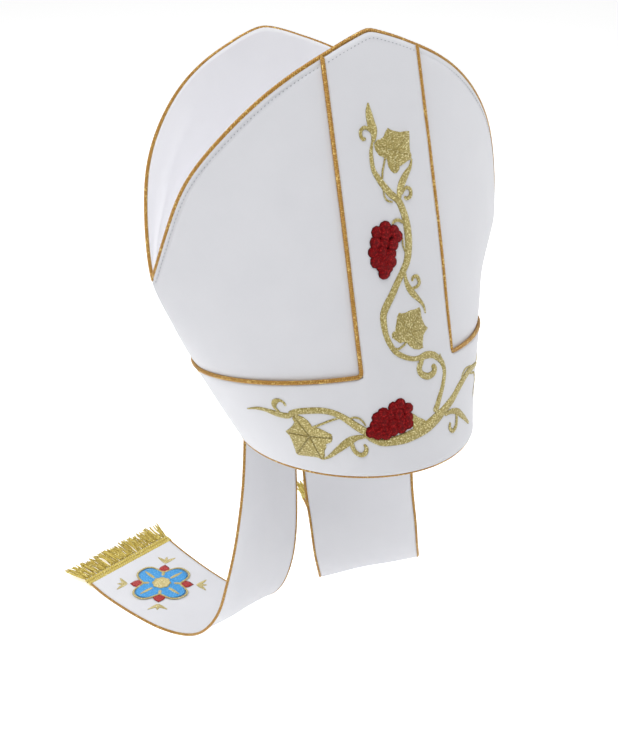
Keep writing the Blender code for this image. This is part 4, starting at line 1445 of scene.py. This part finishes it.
def patch(
    centre,
    ring,
    lift,
    surface=BAND_SURFACE,
    vein_ends=(),
    stitch_turn=0.0,
    rings=20,
    per_side=5,
    floor=0.0,
    groove=0.0,
):
    """A domed patch of stitches inside an outline, with grooves for veins."""
    put, measure = surface
    count = len(ring) * per_side
    edge = []
    for k in range(count):
        first = Vector(ring[k // per_side])
        second = Vector(ring[(k // per_side + 1) % len(ring)])
        edge.append(first.lerp(second, (k % per_side) / per_side))
    middle = Vector(centre)
    flat_ends = [flat_offset(centre, *end, measure) for end in vein_ends]
    turn = math.radians(stitch_turn)
    marks = {}

    def spot(u, v):
        k = round(u * count) % count
        top = min(v / 0.9, 1.0)
        reach = top if v <= 0.9 else 1.0 - (v - 0.9) / 0.1
        jag = 1.0 + (0.006 if k % 2 else -0.004) * (reach > 0.98)
        return middle + (edge[k] - middle) * reach * jag, reach, v > 0.9

    def place(u, v):
        point, reach, under = spot(u, v)
        if under:
            return put(point.x, point.y, floor - 0.0001)
        high = lift * math.sqrt(max(1.0 - reach**6, 0.0))
        flat = flat_offset(centre, point.x, point.y, measure)
        cut = 0.0
        for end in flat_ends:
            cut = max(cut, math.exp(-((vein_distance(flat, end) / VEIN_WIDTH) ** 2)))
        high = max(high - groove * cut * (reach < 0.97), 0.0)
        result = put(point.x, point.y, floor + high)
        # The vein's depth goes into the pressed layer, where the thread's colour turns it into painted
        # shade.
        marks[spot_key(result)] = cut * groove / DEEPEST_GROOVE
        return result

    def chart(u, v):
        flat = flat_offset(centre, *spot(u, v)[0], measure)
        return (
            flat.x * math.cos(turn) + flat.y * math.sin(turn),
            flat.y * math.cos(turn) - flat.x * math.sin(turn) + 0.2,
        )

    mesh = laid(count, rings, place, chart, closed=True)
    return press(mesh, lambda point: marks.get(spot_key(point), 0.0))


for name, leaf in LEAVES.items():
    shape = patch(
        *measured([leaf["centre"]]),
        measured(leaf["outline"]),
        LEAF_LIFT,
        vein_ends=measured(leaf["vein_ends"]),
        stitch_turn=leaf["stitch_turn"],
        rings=30,
        groove=leaf["groove"],
    )
    stalk = ribbon(measured(leaf["stalk"]), floor=0.00005)
    finished(f"{name}_stitches", [shape, stalk], gold_thread, name)

# %% [markdown]
# ## Grapes
# Each grape is a small padded button of red satin stitch, and the buttons overlap in a bunch. A
# grape is repeated, so it is a flattened ball of about two hundred faces. Every ball lies on the
# band by its own chart and turns its stitches its own way, and higher ones lie over lower ones.
# Each button darkens towards its rim, and a low patch under the bunch is wholly dark red: both are
# painted shade between the berries.
# %% Bunches of grapes
GRAPES = {
    "vine_grapes_upper": [
        (-231, 1440), (-405, 1428), (-70, 1423), (-250, 1418), (-10, 1405), (-465, 1399), (-290, 1394),
        (-120, 1384), (-510, 1372), (-355, 1369), (-190, 1358), (-460, 1349), (-285, 1347),
        (-500, 1343), (-200, 1334), (-400, 1328), (-290, 1318), (-362, 1304),
    ],
    "vine_grapes_base": [
        (-358, 655), (-225, 594), (-497, 632), (-700, 597), (-815, 560), (-590, 565), (-420, 564),
        (-245, 500), (-720, 511), (-564, 480), (-400, 470), (-260, 435), (-868, 486), (-730, 430),
        (-560, 405), (-962, 420), (-850, 393), (-400, 408), (-700, 375),
    ],
}
BERRY_RADIUS = 0.0042
BERRY_LIFT = 0.0018


def berry(across, up, seed):
    """One padded button of satin stitch."""
    rng = random.Random(seed)
    side, rise = steps_at(across, up)
    out = side.cross(rise).normalized()
    east = side.normalized()
    north = out.cross(east)
    turn = rng.uniform(0.0, math.pi)
    mesh = bmesh.new()
    layer = mesh.loops.layers.uv.new("chart")
    bmesh.ops.create_uvsphere(mesh, u_segments=18, v_segments=12, radius=1.0)
    shift = rng.uniform(0.0, 0.01)
    wobble = rng.uniform(0.94, 1.06)
    for face in mesh.faces:
        for loop in face.loops:
            x = loop.vert.co.x * BERRY_RADIUS
            y = loop.vert.co.y * BERRY_RADIUS
            round_it = math.atan2(y, x) + turn
            loop[layer].uv = (round_it * BERRY_RADIUS + shift, math.hypot(x, y))
    for vert in mesh.verts:
        ridge = 1.0 + 0.035 * math.sin(9.0 * math.atan2(vert.co.y, vert.co.x) + shift * 900.0)
        vert.co.x *= BERRY_RADIUS * wobble * ridge
        vert.co.y *= BERRY_RADIUS / wobble * ridge
        vert.co.z *= BERRY_LIFT
    frame_turn = Matrix((TIP @ east, TIP @ north, TIP @ out)).transposed().to_4x4()
    middle = stitched(across, up, rng.uniform(-0.0001, 0.0004))
    bmesh.ops.transform(mesh, matrix=Matrix.Translation(middle) @ frame_turn, verts=mesh.verts)
    bmesh.ops.recalc_face_normals(mesh, faces=mesh.faces)
    return mesh


for name, rows in GRAPES.items():
    places = measured(rows)
    hull = [places[k] for k in convex_hull_2d([Vector(place) for place in places])]
    centre = tuple(sum(place[k] for place in hull) / len(hull) for k in (0, 1))
    # A low patch under the berries, wholly dark through the thread's rim darkening: painted shade in the
    # gaps.
    meshes = [patch(centre, hull, 0.0005, rings=8, per_side=3)]
    for number, (across, up) in enumerate(places):
        meshes.append(berry(across, up, number + len(name)))
    finished(f"{name}_stitches", meshes, grape_thread, name)

# %% [markdown]
# ## The lappets
# Each lappet is a lined strap sewn inside the rim behind. It hangs down the neck, turns outwards
# in a soft bend and lies on the table with its good side up. Its middle line is a short table of
# places and turns, rounded by a smooth curve both along and across.
# %% The lappets' named sizes
LAPPET_WIDTH = 0.0920
LAPPET_WALL = 0.0018
LAPPET_TUCK = 0.0120
LAPPET_FALL = 0.2350
LAPPET_REACH = 0.1470
LAPPET_HINGE_DEPTH = 0.71
LAPPET_EDGE_ANGLES = (math.radians(61.0), math.radians(2.5))
LAPPET_COLUMNS = 4
LAPPET_ROWS = (
    # down, back, out: shares of the sizes above, turn and roll in degrees, bow as a share of width
    (0.220, 0.000, 0.445, 37.0, 0.0, 0.115),
    (0.460, -0.010, 0.490, 31.0, 0.0, 0.080),
    (0.640, -0.015, 0.550, 25.0, 0.0, 0.050),
    (0.780, 0.005, 0.610, 22.0, 2.0, 0.030),
    (0.890, 0.060, 0.700, 19.0, 5.0, 0.015),
    (0.960, 0.165, 0.800, 17.0, 7.0, 0.006),
    (0.988, 0.330, 0.950, 16.0, 6.5, 0.000),
    (0.994, 0.545, 1.100, 16.0, 4.5, 0.000),
    (0.998, 0.800, 1.235, 16.0, 1.5, 0.000),
    (1.000, 1.000, 1.315, 16.0, 0.0, 0.000),
)
ROW_STEPS = 8
COLUMN_STEPS = 6


def lappet_places(sign):
    """The lappet's upper face, from its sewn top to its free end, each row from its outer edge."""
    inside = -(HORN_WALL + LAYER_GAP)
    outer, inner = LAPPET_EDGE_ANGLES
    turns = [outer + (inner - outer) * j / LAPPET_COLUMNS for j in range(LAPPET_COLUMNS + 1)]
    rows = []
    for height in (LAPPET_TUCK, 0.5 * LAPPET_TUCK, 0.0):
        row = [worn(BACK, sign * math.sin(a), height, inside) for a in turns]
        rows.append([Vector((-abs(point.x), point.y, point.z)) for point in row])
    hinge_y = LAPPET_HINGE_DEPTH * RIM_HALF_DEPTH
    hinge_z = -math.sin(TIP_BACK) * hinge_y
    for down, back, out, turn, roll, bow in LAPPET_ROWS:
        turn = math.radians(turn)
        roll = math.radians(roll)
        middle = Vector(
            (-out * LAPPET_WIDTH, hinge_y + back * LAPPET_REACH, hinge_z - down * LAPPET_FALL)
        )
        outward = Vector((-math.cos(turn), -math.sin(turn), 0.0)) * math.cos(roll)
        outward.z = math.sin(roll)
        away = Vector((-math.sin(turn), math.cos(turn), 0.0))
        row = []
        for j in range(LAPPET_COLUMNS + 1):
            part = 1.0 - 2.0 * j / LAPPET_COLUMNS
            stand = bow * LAPPET_WIDTH * (1.0 - part * part)
            row.append(middle + outward * part * LAPPET_WIDTH / 2 + away * stand)
        rows.append(row)
    columns = [rounded([row[j] for row in rows], ROW_STEPS) for j in range(LAPPET_COLUMNS + 1)]
    fine = [rounded(list(row), COLUMN_STEPS) for row in zip(*columns)]
    if sign == LEFT:
        fine = [[Vector((-p.x, p.y, p.z)) for p in row] for row in fine]
    return fine


lappet_faces = {sign: lappet_places(sign) for sign in (RIGHT, LEFT)}
print("lappet rows", len(lappet_faces[RIGHT]), "of", len(lappet_faces[RIGHT][0]), "points")


# %% The lappets' cloth
def row_normal(rows, i, j):
    """The direction that the lappet's good side faces at a point."""
    across = rows[i][min(j + 1, len(rows[0]) - 1)] - rows[i][max(j - 1, 0)]
    along = rows[min(i + 1, len(rows) - 1)][j] - rows[max(i - 1, 0)][j]
    normal = across.cross(along).normalized()
    return normal if normal.dot(Vector((0.0, 1.0, 0.6))) > 0.0 else -normal


def lappet_cloth(hand, sign):
    """One lappet with soft folds where it bends."""
    rows = lappet_faces[sign]
    last_row = len(rows) - 1
    last_column = len(rows[0]) - 1
    length = sum((b[last_column // 2] - a[last_column // 2]).length for a, b in zip(rows, rows[1:]))

    def place(u, v):
        i = round(v * last_row)
        j = round(u * last_column)
        point = rows[i][j]
        edge = math.sin(math.pi * u) ** 0.6
        hang = math.sin(math.pi * min(max((v - 0.10) / 0.62, 0.0), 1.0))
        fold = 0.0016 * hang * math.sin(6.5 * u + 5.0 * v + sign)
        fold += 0.0012 * hang * noise.noise(Vector((u * 2.5, v * 6.0, sign * 2.0)))
        fold += 0.0003 * noise.noise(Vector((u * 5.0, v * 14.0, 4.0 + sign)))
        return point + row_normal(rows, i, j) * fold * edge

    mesh = laid(
        last_column,
        last_row,
        place,
        lambda u, v: (u * LAPPET_WIDTH, v * length),
        outward=lambda point: Vector((0.0, 1.0, 0.6)),
    )
    area = sum(face.calc_area() for face in mesh.faces)
    piece = finished(f"lappet_{hand}_cloth", [mesh], white_cloth, f"lappet_{hand}")
    smooth = piece.modifiers.new("smooth", "SUBSURF")
    smooth.levels = 1
    smooth.render_levels = 1
    smooth.boundary_smooth = "PRESERVE_CORNERS"
    wall(piece, LAPPET_WALL)
    print(piece.name, "flat", round(LAPPET_WIDTH, 4), "by", round(length, 4), "area", round(area, 4))
    return piece, length


lappets = {}
for hand, sign in (("right", RIGHT), ("left", LEFT)):
    lappets[hand] = lappet_cloth(hand, sign)

# %% [markdown]
# ## Cords on the lappets
# A thin gold cord closes each long edge of a lappet, from just under the rim to the fringe. It
# lies level with the middle of the cloth's thickness and just outside its edge.
# %% The lappets' cords
LAPPET_PIPING_RADIUS = 0.0012


def lappet_cord_path(sign, outer):
    """A path beside one long edge of a lappet."""
    rows = lappet_faces[sign]
    last = len(rows[0]) - 1
    edge, beside = (0, 1) if outer else (last, last - 1)
    path = []
    for i in range(2 * ROW_STEPS, len(rows)):
        out = (rows[i][edge] - rows[i][beside]).normalized()
        normal = row_normal(rows, i, edge)
        path.append(rows[i][edge] + out * LAPPET_PIPING_RADIUS * 0.8 - normal * LAPPET_WALL / 2)
    return path


for hand, sign in (("right", RIGHT), ("left", LEFT)):
    for word, outer in (("outer", True), ("inner", False)):
        path = lappet_cord_path(sign, outer)
        tube = cord_tube(path, LAPPET_PIPING_RADIUS, Vector((1.0, 0.0, 0.0)), sides=8)
        finished(
            f"lappet_{hand}_cord_{word}", [tube], gold_piping, f"lappet_{hand}_piping_{word}"
        )

# %% [markdown]
# ## Fringe
# A woven braid crosses the end of each lappet, and loose twisted yarns hang from it. On the table
# they splay and cross a little. Each yarn is a thin tube of few faces, bent by its own random
# numbers from a fixed seed, so that it comes out the same each time.
# %% Fringe finishes
fringe_yarn = wound_yarn(
    "fringe yarn",
    ((168, 142, 42), (232, 210, 100), (252, 244, 176)),
    pitch=0.0012,
    slant=0.9,
    metal=0.2,
    roughness=0.45,
    bump=0.00012,
)
braid_yarn = wound_yarn(
    "fringe braid",
    ((176, 148, 48), (240, 220, 118), (254, 246, 190)),
    pitch=0.0026,
    slant=0.8,
    metal=0.2,
    roughness=0.45,
    bump=0.0004,
)
FRINGE_LENGTH = 0.0290
FRINGE_HEAD = 0.0065
FRINGE_THICKNESS = 0.0024
FRINGE_SPREAD = 0.0050
FRINGE_YARNS = 126
BRAID_OVERLAP = 0.0030


def tail_frame(rows):
    """The lappet end's middle, and its directions across, along and up."""
    last = rows[-1]
    middle = (last[0] + last[-1]) / 2
    across = (last[0] - last[-1]).normalized()
    along = middle - (rows[-1 - ROW_STEPS // 2][0] + rows[-1 - ROW_STEPS // 2][-1]) / 2
    along = (along - across * along.dot(across)).normalized()
    up = along.cross(across)
    up = up if up.z > 0.0 else -up
    return middle, across, along, up


print("yarns per fringe", FRINGE_YARNS)


# %% Braids and yarns
def braid(tail, full):
    """A flat woven braid with slanting ridges."""
    middle, across, along, up = tail
    section = [(0.0, 0.0), (0.05, 0.8), (0.16, 1.05), (0.34, 1.05), (0.5, 0.82)]
    section += [(1.0 - part, high) for part, high in section[3::-1]] + [(0.5, 0.0)]
    sides = len(section)
    rows = 240

    def place(u, v):
        part, high = section[round(u * sides) % sides]
        slant = 1.0 if part < 0.5 else -1.0
        ridge = 0.00028 * math.sin(2.0 * math.pi * (v * full / 0.0026 + slant * part * 1.8))
        end = 0.2 if v in (0.0, 1.0) else 1.0
        offset = (v - 0.5) * full
        height = -LAPPET_WALL - 0.0001 + (FRINGE_THICKNESS + 0.0002) * (0.5 + (high - 0.5) * end)
        height += ridge * (high > 0.5)
        reach = -BRAID_OVERLAP + (FRINGE_HEAD + BRAID_OVERLAP) * (0.5 + (part - 0.5) * end)
        return middle + across * offset + along * reach + up * height

    mesh = laid(sides, rows, place, lambda u, v: (v * full, u * 0.022), closed=True)
    # Painted shade: a narrow line down the braid's middle groove is marked pressed, and the yarn's colour
    # darkens there.
    centre = middle + along * (FRINGE_HEAD - BRAID_OVERLAP) / 2
    return press(mesh, lambda point: 0.7 * (abs((point - centre).dot(along)) < 0.0004))


def yarn(points, radius, dark):
    """A loose yarn along points, lighter or darker than its neighbours."""
    mesh = cord_tube(points, radius, step=0.0036, sides=5, ridge=0.0)
    return press(mesh, lambda point: dark)


def fringe(hand, sign):
    """A braid with its loose yarns."""
    tail = tail_frame(lappet_faces[sign])
    middle, across, along, up = tail
    full = LAPPET_WIDTH + 2.0 * (2.0 * LAPPET_PIPING_RADIUS + SEAM_GAP)
    rng = random.Random(11 if sign == RIGHT else 23)
    meshes = []
    for number in range(FRINGE_YARNS):
        start = (number + 0.5) / FRINGE_YARNS - 0.5
        splay = 2.0 * FRINGE_SPREAD * start + rng.gauss(0.0, 0.0030)
        length = FRINGE_LENGTH * rng.uniform(0.86, 1.05)
        stray = number in (4, 61, 118)
        if stray:
            splay *= 2.2
            length *= 1.06
        bend = rng.gauss(0.0, 0.0011)
        level = rng.uniform(0.0006, 0.0024)
        points = []
        for k in range(9):
            t = k / 8
            offset = start * full * 0.985 + splay * t + bend * math.sin(math.pi * t)
            height = -LAPPET_WALL + level * (1.0 - 0.45 * t) + 0.0004 * math.sin(5.0 * t + number)
            points.append(middle + across * offset + along * (0.0052 + (length - 0.0017) * t) + up * height)
        meshes.append(yarn(points, rng.uniform(0.00062, 0.00086), rng.random() ** 2))
    yarns = finished(f"fringe_{hand}_yarns", meshes, fringe_yarn, f"fringe_{hand}")
    woven = finished(f"fringe_{hand}_braid", [braid(tail, full)], braid_yarn)
    return yarns, woven


fringes = {}
for hand, sign in (("right", RIGHT), ("left", LEFT)):
    fringes[hand] = fringe(hand, sign)

# %% [markdown]
# ## A rosette on each lappet
# Near its end each lappet carries a device in red, blue and gold satin stitch: a rosette of
# plain geometric petals, with a small sprig of three leaves off each corner. Each layer is a
# patch with its own outline, and every upper layer starts on top of the one below.
# %% Rosette finishes and places
blue_thread = satin_thread(
    "blue thread", ((38, 134, 214), (66, 172, 242), (130, 205, 250)), pitch=0.0007, bump=0.00012
)
red_thread = satin_thread(
    "red thread", ((140, 22, 24), (190, 38, 38), (225, 84, 78)), pitch=0.0007, bump=0.00012
)
pale_gold_thread = satin_thread(
    "pale gold thread",
    ((182, 162, 92), (217, 200, 134), (244, 236, 190)),
    pitch=0.0007,
    bump=0.00014,
    metal=0.2,
    roughness=0.42,
)
ROSETTE_RADIUS = 0.0310
ROSETTE_BACK = 0.0500


def lappet_chart(sign):
    """Puts metres to the outer edge and back from the free end on a lappet, a lift above it."""
    rows = lappet_faces[sign]
    last = len(rows[0]) - 1
    middle = last // 2
    spans = [(upper[middle] - lower[middle]).length for upper, lower in zip(rows[-2::-1], rows[:0:-1])]

    def put(across, back, lift):
        number = 0
        while number < len(spans) - 1 and back > spans[number]:
            back -= spans[number]
            number += 1
        lower = len(rows) - 1 - number
        upper = lower - 1
        column = (0.5 - across / LAPPET_WIDTH) * last
        first = min(max(int(column), 0), last - 1)
        near = rows[lower][first].lerp(rows[lower][first + 1], column - first)
        far = rows[upper][first].lerp(rows[upper][first + 1], column - first)
        normal = row_normal(rows, lower, first)
        return near.lerp(far, back / spans[number]) + normal * lift

    return put


def plain_measure(across, up):
    """One metre is one metre on a lappet's chart."""
    return Vector((1.0, 0.0, 0.0)), Vector((0.0, 1.0, 0.0))


print("rosette", round(2000 * ROSETTE_RADIUS), "mm across")


# %% Rosette layers
def petal_ring(petals, turn, radius, notch, sharpness, points=40):
    """The outline of a rosette layer."""
    ring = []
    for step in range(points):
        angle = 2.0 * math.pi * step / points
        dip = notch * (0.5 - 0.5 * math.cos(petals * angle)) ** sharpness
        reach = radius * ROSETTE_RADIUS * (1.0 - dip)
        heading = angle + math.radians(turn)
        ring.append((reach * math.cos(heading), ROSETTE_BACK + reach * math.sin(heading)))
    return ring


def layer_of(surface, ring, lift, floor, turn):
    """One layer of the rosette on a lappet."""
    centre = (0.0, ROSETTE_BACK)
    return patch(centre, ring, lift, surface, (), turn, rings=14, per_side=4, floor=floor)


def sprig_leaf(heading, lean):
    """One leaf of a sprig, as rows of across, back and width: it leaves a corner and leans aside."""
    rows = []
    for reach, aside, width in ((1.03, 0.0, 0.0012), (1.17, 0.4, 0.0034), (1.34, 1.0, 0.0006)):
        turn = heading + math.radians(lean) * aside
        x = reach * ROSETTE_RADIUS * math.cos(turn)
        y = reach * ROSETTE_RADIUS * math.sin(turn)
        rows.append((x, ROSETTE_BACK + y, width))
    return rows


def rosette(hand, sign):
    """Red star, blue petals edged in gold, a gold boss and small sprigs."""
    surface = (lappet_chart(sign), plain_measure)
    edge = petal_ring(4, 0.0, 0.95, 0.42, 1.6)
    star = layer_of(surface, petal_ring(4, 45.0, 1.00, 0.62, 0.7), 0.0007, 0.0001, 20.0)
    petals = layer_of(surface, edge, 0.0007, 0.0007, 65.0)
    meshes = [layer_of(surface, petal_ring(8, 0.0, 0.30, 0.12, 1.6), 0.0008, 0.0013, 0.0)]
    rim = [(x, y, 0.0016) for x, y in edge + edge[:2]]
    meshes.append(ribbon(rim, per_span=3, lift=0.0006, surface=surface, floor=0.0009))
    for number in range(8):
        heading = math.radians(45.0 * number)
        start, end = (0.36, 0.60) if number % 2 else (0.34, 0.80)
        ray = []
        for reach, width in ((start, 0.0022), ((start + end) / 2, 0.0030), (end, 0.0008)):
            x = ROSETTE_RADIUS * reach * math.cos(heading)
            y = ROSETTE_RADIUS * reach * math.sin(heading)
            ray.append((x, ROSETTE_BACK + y, width))
        meshes.append(ribbon(ray, per_span=4, lift=0.0005, surface=surface, floor=0.0013))
    for number in range(4):
        heading = math.radians(45.0 + 90.0 * number)
        for lean in (-12.0, 0.0, 12.0):
            rows = sprig_leaf(heading, lean)
            meshes.append(ribbon(rows, per_span=5, lift=0.0005, surface=surface, floor=0.0001))
    word = f"lappet_{hand}"
    return [
        finished(f"{word}_star_stitches", [star], red_thread, f"{word}_star"),
        finished(f"{word}_petal_stitches", [petals], blue_thread, f"{word}_petals"),
        finished(f"{word}_boss_stitches", meshes, pale_gold_thread, f"{word}_boss"),
    ]


for hand, sign in (("right", RIGHT), ("left", LEFT)):
    stitches = rosette(hand, sign)
    piece, length = lappets[hand]
    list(fringes[hand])

# %% [markdown]
# ## The floor
# A wide pale floor shows the soft shadow under the lappets. It belongs to the stage and not to
# the hat.
# %% The floor
FLOOR_HEIGHT = -0.2526
floor_mesh = bmesh.new()
bmesh.ops.create_grid(floor_mesh, x_segments=2, y_segments=2, size=6.0)
bmesh.ops.translate(floor_mesh, vec=(0.0, 0.0, FLOOR_HEIGHT), verts=floor_mesh.verts)
floor_data = bpy.data.meshes.new("floor")
floor_mesh.to_mesh(floor_data)
floor_mesh.free()
floor = bpy.data.objects.new("floor", floor_data)
bpy.context.scene.collection.objects.link(floor)
floor_finish, floor_shader, floor_thread = material(
    "pale floor", Roughness=0.9, Emission_Color=(1.0, 1.0, 1.0, 1.0), Emission_Strength=0.56
)
floor_tone = mix((0.93, 0.93, 0.93), (0.96, 0.96, 0.96), floor_thread.speckle(3.0, 2.0))
connect(floor_thread, floor_shader, Base_Color=floor_tone)
floor_data.materials.append(floor_finish)
print("floor at", FLOOR_HEIGHT)
